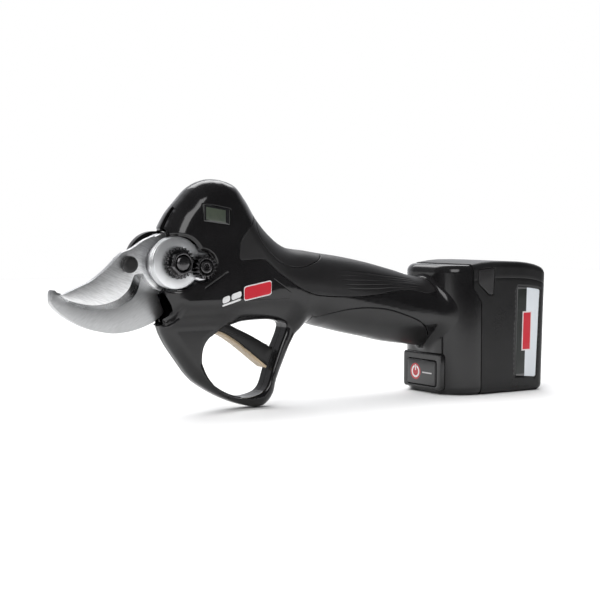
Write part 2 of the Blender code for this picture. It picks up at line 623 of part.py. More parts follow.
def make_gears(kit):
    here = (PIVOT[0], 0, PIVOT[1])
    make_sector(kit, here)
    make_bevel_pinion(kit)
    flange = [(7.3, 31.0), (GEARBOX_RADIUS, 31.0), (GEARBOX_RADIUS, 36.7), (7.3, 36.7)]
    kit.turned("gearbox_flange", flange, frame=on_motor_axis, finish="aluminium", steps=28)
    bearing = [(3.6, 31.2), (7.0, 31.2), (7.0, 35.8), (3.6, 35.8)]
    kit.turned("output_bearing", bearing, frame=on_motor_axis, finish="dark_steel", steps=28)
    half_pitch = math.pi / RING_TEETH
    inner_teeth = gear_line((0, 0), RING_TEETH, PLANET_MODULE, half_pitch, inner=True)
    kit.plate("ring_gear", [circle((0, 0), GEARBOX_RADIUS, 28), inner_teeth], 37.0, 50.0, on_motor_axis,
              "dark_steel")
    spots = [(ORBIT * math.cos(a), ORBIT * math.sin(a)) for a in np.arange(3) * 2 * math.pi / 3]
    carrier = kit.turned("planet_carrier", [(3.5, 38.4), (10.2, 38.4), (10.2, 40.8), (3.5, 40.8)],
                         frame=on_motor_axis, finish="dark_steel", axis=on_motor_axis(0, 0, 38.4), steps=32)
    for k, spot in enumerate(spots):
        pin = kit.plate(f"guide_planet_pin_{k}", [circle(spot, 1.4, 14)], 39.5, 47.0, on_motor_axis)
        combine(carrier, pin, "UNION")
        tooth_line = gear_line(spot, PLANET_TEETH, PLANET_MODULE, k * 2 * math.pi / 3)
        kit.plate(f"planet_gear_{k + 1}", [tooth_line, circle(spot, 1.75, 14)], 41.2, 46.4, on_motor_axis,
                  "dark_steel", axis=on_motor_axis(*spot, 41.2))
    tooth = gear_line((0, 0), SUN_TEETH, PLANET_MODULE)
    shaft = circle((0, 0), 1.5, len(tooth))
    sections = [(tooth, 41.4), (tooth, 47.4), (shaft, 47.4), (shaft, 108.6)]
    kit.loft("rotor_shaft", [[on_motor_axis(u, v, t) for u, v in loop] for loop, t in sections], "dark_steel",
             axis=on_motor_axis(0, 0, 41.4))


def make_sector(kit, here):
    """Bevel-toothed sector: the teeth face the pinion and shrink towards the pivot."""
    pitch = math.radians(9)
    middle = AXIS_TILT + math.radians(25)
    sections = []
    for k in range(8):
        centre = AXIS_TILT + (k - 1 + 0.5) * pitch
        for shift, height in ((-0.28, -1.35), (-0.10, 0.9), (0.10, 0.9), (0.28, -1.35)):
            angle = centre + shift * pitch
            slope = -CONE_SLOPE + height / SECTOR_RADIUS
            strip = [(10, -8.3), (10, -5.9), (17.8, -5.9), (18.2, 18.2 * slope), (25.5, 25.5 * slope),
                     (25.5, -8.3)]
            sections.append([(PIVOT[0] + r * math.cos(angle), y, PIVOT[1] + r * math.sin(angle))
                             for r, y in strip])
    sector = kit.loft("blade_gear_sector", sections, "dark_steel", axis=here)
    hub = kit.plate("guide_sector_hub", [circle(PIVOT, 13.2, 36, middle)], -8.3, -4.6)
    combine(sector, hub, "UNION")
    cut(sector, kit.plate("guide_sector_bore", [circle(PIVOT, 6.5, 32)], -10, -2))
    for k, spot in enumerate(drive_pin_spots()):
        cut(sector, kit.plate(f"guide_drive_bore_{k}", [circle(spot, 1.8, 14)], -10, -2))
        pin = [(0, -8.2), (1.5, -8.2), (1.5, -0.6), (0, -0.6)]
        kit.turned(f"drive_pin_{k + 1}", pin, spot, finish="dark_steel", axis=here, steps=14)


def make_bevel_pinion(kit):
    pitch = 2 * math.pi / PINION_TEETH
    rings = []
    for s in (18.8, 25.2):
        ring = []
        for k in range(PINION_TEETH):
            for shift, height in ((-0.28, -1.25), (-0.10, 0.85), (0.10, 0.85), (0.28, -1.25)):
                radius = s * (CONE_SLOPE + height / SECTOR_RADIUS)
                angle = math.pi + (k + shift) * pitch
                ring.append((radius * math.cos(angle), radius * math.sin(angle), s))
        rings.append(ring)
    for s in (25.2, 38.0):
        shaft = circle((0, 0), 3.3, 4 * PINION_TEETH, math.pi - 0.28 * pitch)
        rings.append([(u, v, s) for u, v in shaft])
    kit.loft("bevel_pinion", [[on_motor_axis(*p) for p in ring] for ring in rings], "dark_steel",
             axis=on_motor_axis(0, 0, 18.8))


def make_motor(kit):
    can = [(2.1, 50.4), (14.2, 50.4), (14.2, 103.0), (13.0, 103.0), (13.0, 53.0), (2.1, 53.0)]
    kit.turned("motor_can", can, frame=on_motor_axis, finish="dark_steel", steps=28)
    cap = [(2.1, 103.4), (14.2, 103.4), (14.2, 109.0), (2.1, 109.0)]
    kit.turned("motor_end_cap", cap, frame=on_motor_axis, finish="satin_plastic", steps=28)
    winding = [(5.0, 57.0), (12.6, 57.0), (12.6, 99.0), (5.0, 99.0)]
    kit.turned("motor_winding", winding, frame=on_motor_axis, finish="copper", steps=24)
    kit.plate("motor_controller", [side_rectangle(114, 166, 12)], 5.0, 6.6, finish="board")


# ---------------------------------------------------------------- display and trigger
def make_display(kit):
    kit.plate("display_lens", [DISPLAY], -16.6, -14.9, finish="display")
    kit.plate("display_module", [offset(DISPLAY, 2.2)], -12.6, -10.0, finish="board")


def make_trigger(kit):
    here = (TRIGGER_HINGE[0], 0, TRIGGER_HINGE[1])
    facing_in = offset(TRIGGER_FACE, 1.3, closed=False)
    facing = [tuple(p) for p in TRIGGER_FACE] + [tuple(p) for p in facing_in[::-1]]
    kit.plate("trigger_facing", [facing], -4.6, 4.6, finish="cream", axis=here)
    inner = [tuple(p) for p in offset(TRIGGER_FACE, 1.6, closed=False)]
    barrel = arc(TRIGGER_HINGE, 3.8, 95, 290, 10)
    lever = kit.plate("trigger", [inner + TRIGGER_BACK + barrel], -5.4, 5.4, finish="satin_plastic",
                      axis=here)
    cut(lever, kit.plate("guide_spring_room", [circle(TRIGGER_HINGE, 3.4, 20)], -1.6, 1.6),
        kit.plate("guide_hinge_bore", [circle(TRIGGER_HINGE, 1.8, 16)], -8, 8))
    pin = [(0, -8.2), (1.5, -8.2), (1.5, 8.2), (0, 8.2)]
    kit.turned("trigger_pin", pin, TRIGGER_HINGE, finish="dark_steel", steps=16)
    make_spring(kit)
    kit.plate("trigger_switch", [rounded_box(-74, -64, 57.9, 61.5, 0.6, 2)], -4, 4, finish="satin_plastic")


def make_spring(kit):
    """Torsion spring round the trigger's pin: 2.5 turns of wire swept along a helix."""
    wire, coil, turns, sides = 0.3, 2.5, 2.5, 6
    sections = []
    for t in np.linspace(0, 1, round(turns * 12) + 1):
        angle = t * turns * 2 * math.pi
        radial = Vector((math.cos(angle), 0, math.sin(angle)))
        centre = Vector((TRIGGER_HINGE[0], -1.1 + 2.2 * t, TRIGGER_HINGE[1])) + coil * radial
        ring = [centre + wire * (math.cos(b) * radial + math.sin(b) * Vector((0, 1, 0)))
                for b in np.arange(sides) * 2 * math.pi / sides]
        sections.append(ring)
    kit.loft("trigger_spring", sections, "dark_steel")


# ---------------------------------------------------------------- battery and its holder
def holder_plan(grow=0.0):
    """Plan of the holder: a wide front with large corners."""
    reach = 20 + grow
    corners = arc((106, SIDE - 20), reach, 90, 180, 9) + arc((106, -SIDE + 20), reach, 180, 270, 9)
    return [(PARTING - 0.3, SIDE + grow)] + corners + [(PARTING - 0.3, -SIDE - grow)]


def battery_plan(grow=0.0):
    """Plan of the battery: square towards the holder, rounded corners at the back."""
    x0, x1 = 101.6 - grow, BATTERY_BACK + grow
    box = rounded_box(x0, x1, -SIDE - grow, SIDE + grow, 6 + grow, 4)
    return box[:4] + [(x0, SIDE + grow), (x0, -SIDE - grow)] + box[12:]


def column(kit, name, plan, low, high, rounding, finish=None):
    """Upright solid whose top and bottom edges are rounded by shrinking the plan."""
    levels = []
    for share in (0.0, 0.35, 1.0):
        angle = share * math.pi / 2
        levels.append((rounding * (1 - math.sin(angle)), rounding * (1 - math.cos(angle))))
    rings = [(plan(-shrink), low + rise) for shrink, rise in levels]
    rings += [(plan(-shrink), high - rise) for shrink, rise in reversed(levels)]
    return kit.loft(name, [[(x, y, z) for x, y in ring] for ring, z in rings], finish)


def make_holder(kit):
    holder = column(kit, "battery_holder", holder_plan, 0.0, HOLDER_TOP, 5.0, "gloss_plastic")
    wedge = [(120, 57.0), (107.6, 57.0), (101.3, 66.6), (101.3, 90), (120, 90)]
    inner = kit.plate("guide_holder_room", [holder_room()], 2.4, HOLDER_TOP - 2.4, upward)
    handle = kit.piece("guide_handle_hole", *body_shape(-0.9, 101.0).mesh(0))
    panel = kit.plate("guide_bezel_hole", [rounded_box(-19.3, 19.3, 2.7, 25.6, 2.4, 4)], 70, 92, lengthwise)
    cut(holder, inner, kit.plate("guide_wedge", [wedge], -40, 40), handle, panel)
    frame_line = rounded_box(-19, 19, 3.0, 25.3, 2.2, 4)
    hole = rounded_box(-14.3, 14.3, 4.9, 20.8, 1.5, 4)
    kit.plate("button_bezel", [frame_line, hole[::-1]], 85.2, 90.0, lengthwise, "satin_plastic")
    kit.plate("power_button", [rounded_box(-14, 14, 5.2, 20.5, 1.3, 4)], 84.4, 88.6, lengthwise,
              "satin_plastic", axis=(84.4, 0, 12.8))
    kit.plate("switch_board", [rounded_box(-16, 16, 5, 23, 1, 2)], 91.2, 92.8, lengthwise, "board")
    kit.plate("terminal_block", [rounded_box(-12, 12, 6, 24, 1, 2)], 96.0, 106.6, lengthwise, "satin_plastic")
    tabs = kit.plate("guide_tabs", [rounded_box(-6, 6, 12, 16, 1, 2)], 100, 110.0, lengthwise)
    combine(bpy.data.objects["terminal_block"], tabs, "UNION")


def holder_room():
    """Space inside the holder, open towards the battery."""
    corners = arc((106, 10), 17.6, 90, 180, 6) + arc((106, -10), 17.6, 180, 270, 6)
    return [(112, 27.6)] + corners + [(112, -27.6)]


def make_battery(kit):
    case = column(kit, "battery_case", battery_plan, 0.0, BATTERY_TOP, 4.0, "satin_plastic")
    crown = [(90, 80.4), (101.6, 80.4), (118, 82), (140, 81.6), (153, 79.6), (159, 77), (170, 71), (170, 95),
             (90, 95)]
    front = [(90, -5), (108.1, -5), (108.1, 57.2), (101.6, 67.0), (90, 67.0)]
    room = kit.plate("guide_battery_room", [rounded_box(98, 160.3, -28.2, 28.2, 4, 4)], 2.2, 72.0, upward)
    solid_front = [(90, -5), (106, -5), (106, 57), (113, 57), (113, 80), (90, 80)]
    cut(room, kit.plate("guide_room_front", [solid_front], -40, 40))
    cut(case, kit.plate("guide_crown", [crown], -40, 40), kit.plate("guide_front", [front], -40, 40), room)
    label = [(135.6, 10.3), (153.9, 8.8), (155.5, 65.5), (136.8, 66)]
    cut(case, kit.plate("guide_label", [offset(label, -GAP)], -40, -29.2))
    kit.plate("label_plate", [label], -30.0, -29.5, finish="label")
    button = [(105.4, 69.4), (113.6, 61.8), (117.0, 61.4), (118.0, 78.0), (105.4, 78.0)]
    for side, word in ((-1, "left"), (1, "right")):
        low, high = sorted((side * 24.6, side * 40))
        cut(case, kit.plate(f"guide_release_{word}", [offset(button, -GAP)], low, high))
        low, high = sorted((side * 25.0, side * 30.3))
        latch = kit.plate(f"release_button_{word}", [button], low, high, finish="soft_grip",
                          axis=(112, side * SIDE, 70))
        low, high = sorted((side * 25.0, side * 26.6))
        combine(latch, kit.plate(f"guide_flange_{word}", [offset(button, -1.2)], low, high), "UNION")
    cut(case, kit.plate("guide_latch_room", [offset(button, -1.8)], -27.4, 27.4))
    plate_hole = rounded_box(-7, 7, 11, 17, 1, 2)
    kit.plate("battery_front_plate", [rounded_box(-27.8, 27.8, 2.6, 56.4, 2, 3), plate_hole[::-1]],
              108.3, 110.3, lengthwise, "satin_plastic")
    make_cells(kit)


def make_cells(kit):
    """Six upright cells, joined where they touch, with their board and contacts."""
    cells = None
    for k in range(6):
        spot = (127.5 + 17.8 * (k % 2), -17.8 + 17.8 * (k // 2))
        name = "cell_pack" if cells is None else f"guide_cell_{k}"
        cell = kit.plate(name, [circle(spot, 9.2, 18)], 4.0, 69.0, upward, None if cells else "cell_wrap")
        if cells:
            combine(cells, cell, "UNION")
        cells = cells or cell
    kit.plate("battery_board", [rounded_box(119, 154, -21.5, 21.5, 1, 2)], 69.8, 71.4, upward, "board")
    kit.plate("battery_contacts", [rounded_box(-9, 9, 9, 20, 1, 2)], 110.9, 116.0, lengthwise, "copper")


def main():
    for leftover in list(bpy.data.objects):
        bpy.data.objects.remove(leftover)
    kit = Assembly()
    make_housing(kit)
    make_housing_screws(kit)
    make_blades(kit)
    make_head(kit)
    make_gears(kit)
    make_motor(kit)
    make_display(kit)
    make_trigger(kit)
    make_holder(kit)
    make_battery(kit)


main()
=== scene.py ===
# %% [markdown]
# # Battery electric pruner
# A pistol-shaped housing of glossy black plastic carries a geared blade head at the front and a
# slide-off battery at the back. The measured model is loaded first and stays the frame: every new
# surface below is laid over it, in the same place, and rides on the same body.
# %% Load the measured frame
import json
import math

import bpy
import numpy as np
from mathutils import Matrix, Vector
from mathutils.geometry import delaunay_2d_cdt

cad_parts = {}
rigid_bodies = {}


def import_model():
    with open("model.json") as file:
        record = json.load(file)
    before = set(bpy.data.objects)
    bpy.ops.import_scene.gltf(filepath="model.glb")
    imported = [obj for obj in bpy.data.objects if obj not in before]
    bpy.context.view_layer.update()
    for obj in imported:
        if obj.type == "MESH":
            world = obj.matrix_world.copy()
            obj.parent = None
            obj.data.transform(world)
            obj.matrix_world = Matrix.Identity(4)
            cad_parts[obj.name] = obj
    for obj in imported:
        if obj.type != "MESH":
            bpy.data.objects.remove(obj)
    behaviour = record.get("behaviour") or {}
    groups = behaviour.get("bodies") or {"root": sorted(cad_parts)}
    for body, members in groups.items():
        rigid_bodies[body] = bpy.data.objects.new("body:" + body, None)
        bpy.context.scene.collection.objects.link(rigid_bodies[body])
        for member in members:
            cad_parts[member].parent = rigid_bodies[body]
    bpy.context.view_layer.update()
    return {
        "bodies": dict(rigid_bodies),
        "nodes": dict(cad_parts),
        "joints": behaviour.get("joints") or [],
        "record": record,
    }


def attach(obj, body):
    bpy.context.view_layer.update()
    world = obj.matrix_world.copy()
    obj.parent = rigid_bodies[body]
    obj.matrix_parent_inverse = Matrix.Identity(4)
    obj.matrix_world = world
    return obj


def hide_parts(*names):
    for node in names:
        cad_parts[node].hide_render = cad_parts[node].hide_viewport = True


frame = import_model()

# %% [markdown]
# ## Measures
# Lengths are millimetres in the side view: x runs from the blade tip back to the battery, y from
# the left side (negative) to the right, z up from the floor. One function turns them into the
# frame's metres, so every other line can be written in plain workshop numbers.
# %% Driving measures
MM = 0.001
X_SHIFT = -1.45
PIVOT = (-93.0, 84.2)
LOCK_PINION = (-78.8, 82.0)
STOP_PIN = (-117.0, 83.5)
TRIGGER_HINGE = (-73.0, 50.5)
HEAD_HALF_WIDTH = 17.5
HANDLE_HALF_WIDTH = 19.5
GUARD_HALF_WIDTH = 7.5
HEAD_EDGE = 12.0
HANDLE_EDGE = 20.0
GUARD_EDGE = 2.6
GUARD_RIM = 7.0
SEAM = 0.15
SHELL = 1.8
PAD = 1.2
RECESS = 1.6
SIDE = 30.0
NECK_START = 84.0
NECK_RADIUS = 6.0
HANDLE_FALL = 0.17
HUB_RADIUS = 16.0
HOLDER_TOP = 80.0
BATTERY_TOP = 82.0
BATTERY_BACK = 162.5
HOUSING_SCREWS = [("housing_screw_top", (-66.0, 124.2), 9.0), ("housing_screw_front", (-86.0, 46.0), 3.4),
                  ("housing_screw_rear", (-17.4, 36.6), 3.4)]


def world(points):
    """Workshop millimetres to the frame's metres."""
    return (np.asarray(points, float).reshape(-1, 3) + (X_SHIFT, 0, 0)) * MM


# %% Side view outlines
TOP_LINE = [(96, 69.6), (87, 71.2), (71.3, 74.2), (58.3, 77.8), (40.5, 82.2), (22.6, 85.7), (5.5, 88.2),
            (-3.1, 89.6), (-18.4, 92.1), (-29.5, 99.4), (-38.3, 108.5), (-45.9, 119.6), (-53.4, 127.6),
            (-65.2, 130.2), (-76, 126.7), (-84.7, 118.4), (-91.8, 110), (-97, 99.5)]
FRONT_LINE = [(-99.2, 88), (-99.6, 72), (-99, 60), (-98.3, 50), (-94.8, 41), (-87, 29.6), (-78.3, 18.8),
              (-67.8, 11.5), (-57.1, 6.1), (-46.3, 2.3), (-35.3, 0.2), (-29.7, 2.2), (-25.2, 7.6),
              (-23, 15.3), (-18.5, 25.6), (-12.8, 37), (-5.6, 46.6)]
BOTTOM_LINE = [(5.5, 44.9), (22.7, 40.8), (40.7, 36.9), (54, 33.8), (71.5, 31.2), (87, 29), (96, 27.6)]
WINDOW_LINE = [(-73, 30.2), (-70.9, 38.5), (-62.5, 45.6), (-50.7, 49.7), (-39.9, 50.7), (-28, 50.4),
               (-19, 48.2), (-18.6, 43.5), (-22.6, 34.4), (-27.2, 22.5), (-31.7, 11.1), (-40.3, 7.2),
               (-50.9, 7.4), (-61.6, 12), (-68.4, 18.8), (-72, 25.5)]
THUMB_REST = [(-30, 118), (-37, 111), (-42, 106), (-42.8, 100.9), (-40.5, 95.5), (-36.0, 89.3), (-30.2, 84.5),
              (-22.1, 81.2), (-13.9, 80.8), (-5.7, 82.7), (1.5, 85.4), (7, 90), (9, 100)]
GRIP_AREA = [(-42, 122), (-43, 111), (-49.5, 102.3), (-54, 96.3), (-55.3, 90.2), (-54.6, 85.5), (-46, 85.4),
             (-39.7, 85.3), (-35, 81.8), (-30.2, 77.6), (-23.7, 73.4), (-17.2, 69.1), (-7.3, 65),
             (2.7, 63.6), (15.4, 62.9), (26, 62.8), (38, 63.6), (51, 65.4), (65, 65.3), (76, 63.2),
             (82, 63.6), (84.2, 67), (84.2, 95), (30, 105)]
PALM_AREA = [(-4.5, 50.6), (-1.5, 51.2), (11.2, 54.2), (21.4, 55.6), (32.7, 55.7),
             (44.2, 54.4), (55, 51.5), (68.4, 46.5), (77, 40.5), (82.5, 34), (84.2, 24), (40, 20), (0, 30)]
TRIGGER_FACE = [(-64.5, 44.6), (-58, 42), (-50, 37), (-42, 30.9), (-36, 26.2), (-31.2, 22.6)]
TRIGGER_BACK = [(-26.2, 33.4), (-33, 37.4), (-42, 42.3), (-52.3, 47.2), (-62, 52.4), (-68, 54)]
DISPLAY = [(-78.0, 106.5), (-61.0, 104.3), (-61.0, 113.4), (-78.0, 116.4)]
CUTTING_EDGE = [(-154.9, 67.3), (-148.9, 63.3), (-142.7, 60.6), (-135.1, 59.2), (-128.1, 59.3),
                (-123.1, 60.1), (-117.4, 62.2), (-112.3, 65.3), (-109.4, 69.9), (-108.3, 74.4)]
BEVEL_LINE = [(-155.1, 67.6), (-150.4, 64.9), (-141.5, 62.6), (-134.6, 62.2), (-129, 63.0),
              (-123.3, 64.8), (-119.1, 67.7), (-116.2, 70.9), (-114.3, 75.4), (-113, 78.0)]
BLADE_SPINE = [(-101.5, 98.8), (-107.3, 96.5), (-114.6, 92), (-120.3, 89.8), (-126, 84.7), (-130.9, 80.3),
               (-137.9, 75.3), (-146.9, 71.4), (-151.7, 69.3), (-155.1, 68.1)]
HOOK_OUTSIDE = [(-155.9, 69.4), (-157.4, 70.6), (-159.2, 69.9), (-159.6, 64.2), (-156.9, 60.3),
                (-152.2, 56.3), (-145.4, 52.2), (-138.5, 49.3), (-131.6, 47.4), (-124.5, 46.2),
                (-117.4, 46.4), (-110.1, 47.7), (-102.8, 50.1), (-98.4, 52.4), (-93.8, 56.4),
                (-95.2, 61), (-97.4, 66.9)]
HOOK_INSIDE = [(-109.0, 83), (-110.5, 77), (-116, 71.5), (-123, 67.6), (-131, 65.8), (-140, 65.8),
               (-149, 67.2)]

# %% [markdown]
# ## Plane geometry
# Outlines are splines through a few points. Four small tools do all the work: sample a spline, move
# a line sideways, find the nearest place on an outline, and tell inside from outside.
# %% Curves in a plane
def circle(centre, radius, count, start=0.0):
    """count points at equal angles round the centre."""
    angles = start + np.arange(count) * 2 * np.pi / count
    return np.stack([centre[0] + radius * np.cos(angles), centre[1] + radius * np.sin(angles)], 1)


def arc(centre, radius, first, last, count):
    """Points from angle first to angle last, in degrees, both ends included."""
    angles = np.radians(np.linspace(first, last, count))
    return np.stack([centre[0] + radius * np.cos(angles), centre[1] + radius * np.sin(angles)], 1)


def spline(points, spacing, closed=False):
    """Catmull-Rom curve: each span is the cubic that leaves its points along their neighbours' chord."""
    p = np.array(points, float)
    p = np.vstack([p[-1], p, p[0], p[1]]) if closed else np.vstack([2 * p[0] - p[1], p, 2 * p[-1] - p[-2]])
    curve = []
    for a, b, c, d in zip(p, p[1:], p[2:], p[3:]):
        steps = max(1, round(np.linalg.norm(c - b) / spacing))
        t = (np.arange(steps) / steps)[:, None]
        curve.append(0.5 * (2 * b + (c - a) * t + (2 * a - 5 * b + 4 * c - d) * t ** 2
                            + (3 * b - a - 3 * c + d) * t ** 3))
    curve = np.vstack(curve)
    return curve if closed else np.vstack([curve, p[-2]])


def turn(loop):
    """1 where a loop runs counter-clockwise, -1 where clockwise, from the sign of its area."""
    p = np.array(loop, float)
    q = np.roll(p, -1, 0)
    return 1 if (p[:, 0] * q[:, 1] - q[:, 0] * p[:, 1]).sum() > 0 else -1


def facing(loop, sign):
    """The loop, reversed if need be so that it turns the given way."""
    return np.array(loop, float) if turn(loop) == sign else np.array(loop, float)[::-1]


def offset(points, distance, closed=True):
    """Moves a line sideways, to the left of its direction, square to the chord of its neighbours."""
    p = np.array(points, float)
    along = np.roll(p, -1, 0) - np.roll(p, 1, 0)
    if not closed:
        along[0], along[-1] = p[1] - p[0], p[-1] - p[-2]
    along /= np.linalg.norm(along, axis=1)[:, None]
    return p + distance * np.stack([-along[:, 1], along[:, 0]], 1)


def soften(loop, radius, steps=3):
    """Rounds a loop's corners: each becomes a quadratic arc between points radius away on its sides."""
    p = np.array(loop, float)
    before, after = np.roll(p, 1, 0) - p, np.roll(p, -1, 0) - p
    far_back = np.linalg.norm(before, axis=1)[:, None]
    far_on = np.linalg.norm(after, axis=1)[:, None]
    start = p + before / far_back * np.minimum(radius, 0.45 * far_back)
    end = p + after / far_on * np.minimum(radius, 0.45 * far_on)
    t = np.linspace(0, 1, steps + 1)[None, :, None]
    rounded = (1 - t) ** 2 * start[:, None] + 2 * t * (1 - t) * p[:, None] + t ** 2 * end[:, None]
    return rounded.reshape(-1, 2)


def measured(line, closed):
    """The line's points, with the first again at the end if closed, and each one's distance along it."""
    p = np.vstack([line, line[:1]]) if closed else np.array(line, float)
    return p, np.concatenate([[0], np.cumsum(np.linalg.norm(np.diff(p, axis=0), axis=1))])


def spread(line, count, closed=False):
    """count points at even steps along a polyline."""
    p, along = measured(line, closed)
    marks = np.linspace(0, along[-1], count, endpoint=not closed)
    return np.stack([np.interp(marks, along, p[:, k]) for k in (0, 1)], 1)


def resample(line, spacing, closed=False):
    """Points about spacing apart along a polyline."""
    length = measured(line, closed)[1][-1]
    return spread(line, max(3 if closed else 2, round(length / spacing) + (0 if closed else 1)), closed)


# %% Distances and insides
def segments(lines):
    """Start and end points of every segment of (points, closed) lines."""
    starts = [p if closed else p[:-1] for p, closed in lines]
    ends = [np.roll(p, -1, 0) if closed else p[1:] for p, closed in lines]
    return np.vstack(starts), np.vstack(ends)


def nearest(points, lines):
    """Distance from each point to the lines, and the side it lies on: 1 to the left of the nearest
    segment, -1 to the right, with the unit vector that leads away from the line on that side."""
    starts, ends = segments(lines)
    span = ends - starts
    length = np.maximum((span ** 2).sum(1), 1e-12)
    distance, side, away = [], [], []
    for p in np.array_split(points, max(1, len(points) * len(starts) // 1_500_000)):
        gap = p[:, None] - starts[None]
        t = np.clip((gap * span[None]).sum(2) / length, 0, 1)
        gap -= t[..., None] * span[None]
        square = (gap ** 2).sum(2)
        best = square.argmin(1)
        row = np.arange(len(p))
        d = np.sqrt(square[row, best])
        left = np.stack([-span[best, 1], span[best, 0]], 1) / np.sqrt(length[best])[:, None]
        s = np.where((gap[row, best] * left).sum(1) >= 0, 1.0, -1.0)
        close = d < 1e-3
        out = np.where(close[:, None], left, gap[row, best] / np.maximum(d, 1e-9)[:, None])
        distance.append(d)
        side.append(s)
        away.append(out)
    return np.concatenate(distance), np.concatenate(side), np.vstack(away)


def inside(points, loop):
    """True where a ray to the right crosses the loop an odd number of times."""
    x, z = points.T[:, :, None]
    a = np.array(loop, float)
    b = np.roll(a, -1, 0)
    crosses = (a[None, :, 1] > z) != (b[None, :, 1] > z)
    rise = np.where(b[:, 1] == a[:, 1], 1.0, b[:, 1] - a[:, 1])
    where = (b[:, 0] - a[:, 0]) * (z - a[:, 1]) / rise + a[:, 0]
    return (crosses & (x < where)).sum(1) % 2 == 1


def depth_within(points, loop):
    """Signed distance to a closed loop, positive inside."""
    loop = facing(loop, 1)
    distance = nearest(points, [(loop, True)])[0]
    return np.where(inside(points, loop), distance, -distance)


def ease(t):
    """Smooth step: 3t squared less 2t cubed, held at 0 and 1."""
    t = np.clip(t, 0, 1)
    return t * t * (3 - 2 * t)


def fillet(distance, radius):
    """Drop of a rounded edge: a quarter circle, full drop at the edge and none radius away."""
    t = np.clip(distance / radius, 0, 1)
    return radius * (1 - np.sqrt(np.clip(1 - (1 - t) ** 2, 0, 1)))


# %% [markdown]
# ## Flat nets
# A curved wall is cut out flat, like a dress pattern, and then bent into place. The net is a
# Delaunay triangulation whose edges follow every outline, hole and seam, with an even field of
# points between them. Following the seams means a groove can be half a millimetre wide without the
# whole wall needing half-millimetre faces.
# %% Triangles over an area
def clear_of(points, taken, reach):
    """Keeps the points with nothing taken in their own or a neighbouring cell of a square grid."""
    if not len(points) or not len(taken):
        return points
    stride = 100003
    cells = np.floor(taken / reach).astype(np.int64)
    full = np.unique(np.concatenate([(cells[:, 0] + i) * stride + cells[:, 1] + j
                                     for i in (-1, 0, 1) for j in (-1, 0, 1)]))
    own = np.floor(points / reach).astype(np.int64)
    return points[~np.isin(own[:, 0] * stride + own[:, 1], full)]


def net(lines, keep, seeds=(), spacing=1.6, gap=0.55):
    """Triangulates the area where keep is true; the lines stay as edges. Rows of points are
    staggered by half a step, which makes nearly equal triangles."""
    fixed = np.vstack([p for p, _ in lines])
    dense = np.vstack([resample(p, 0.5, closed) for p, closed in lines])
    rings = clear_of(np.array(seeds, float).reshape(-1, 2), dense, 0.22)
    low, high = fixed.min(0), fixed.max(0)
    rows = np.arange(low[1], high[1], spacing * 0.866)
    field = [np.stack([np.arange(low[0], high[0], spacing) + (k % 2) * spacing / 2,
                       np.full(len(np.arange(low[0], high[0], spacing)), z)], 1) for k, z in enumerate(rows)]
    field = np.vstack(field)
    field = field[keep(field)]
    field = clear_of(field, np.vstack([dense, rings]), gap)
    points = np.vstack([fixed, rings, field])
    edges, start = [], 0
    for p, closed in lines:
        count = len(p)
        edges += [(start + i, start + (i + 1) % count) for i in range(count if closed else count - 1)]
        start += count
    placed, _, faces, *_ = delaunay_2d_cdt([Vector(p) for p in points.tolist()], edges, [], 0, 1e-5)
    flat = np.array([tuple(p) for p in placed])
    triangles = np.array([f for f in faces if len(f) == 3])
    corners = flat[triangles]
    area = np.cross(corners[:, 1] - corners[:, 0], corners[:, 2] - corners[:, 0])
    triangles = triangles[np.abs(area) > 1e-7]
    area = area[np.abs(area) > 1e-7]
    triangles[area < 0] = triangles[area < 0][:, ::-1]
    triangles = triangles[keep(flat[triangles].mean(1))]
    used, compact = np.unique(triangles, return_inverse=True)
    return flat[used], compact.reshape(-1, 3)


def border(faces):
    """Directed edges that only one triangle uses."""
    edges = np.vstack([faces[:, [0, 1]], faces[:, [1, 2]], faces[:, [2, 0]]])
    big = edges.max() + 1
    forward = edges[:, 0] * big + edges[:, 1]
    backward = edges[:, 1] * big + edges[:, 0]
    return edges[~np.isin(forward, backward)]


# %% [markdown]
# ## From net to solid wall
# The bent net is only a skin. A moulding has thickness, so the skin is copied inwards along its own
# normals and the two are joined round every edge. Glossy plastic shows the smallest error in its
# normals as a ripple, so they are not left to be averaged from the triangles but come from the
# shape's own formula.
# %% Thick walls
def face_normals(verts, faces):
    """Unit cross product of two sides of each triangle."""
    a, b, c = verts[faces[:, 0]], verts[faces[:, 1]], verts[faces[:, 2]]
    n = np.cross(b - a, c - a)
    return n / np.maximum(np.linalg.norm(n, axis=1), 1e-12)[:, None]


def thicken(verts, faces, normals, thickness):
    """Closed wall: the skin, the same skin moved inwards, and a band along every free edge.
    Returns points, triangles and a normal for each triangle's corners."""
    count = len(verts)
    rim = border(faces)
    band = np.vstack([np.stack([rim[:, 1], rim[:, 0], rim[:, 0] + count], 1),
                      np.stack([rim[:, 1], rim[:, 0] + count, rim[:, 1] + count], 1)])
    solid = np.vstack([verts, verts - thickness * normals])
    every = np.vstack([faces, faces[:, ::-1] + count, band])
    flat = face_normals(solid, every)
    smooth = np.vstack([normals, -normals])[every]
    lean = (smooth * flat[:, None]).sum(2)
    corner = np.where((lean > 0.55)[..., None], smooth, flat[:, None])
    corner[len(faces) * 2:] = flat[len(faces) * 2:, None]
    return solid, every, corner


def finish_piece(name, mesh, finish, body, replaces):
    """Puts a mesh in the scene with its material, hangs it on its body, and hides the measured parts it
    replaces.
    """
    mesh.materials.append(finish)
    made = bpy.data.objects.new(name, mesh)
    bpy.context.scene.collection.objects.link(made)
    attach(made, body)
    if replaces:
        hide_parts(*replaces)
    print(name, len(mesh.polygons), "faces on", body)
    return made


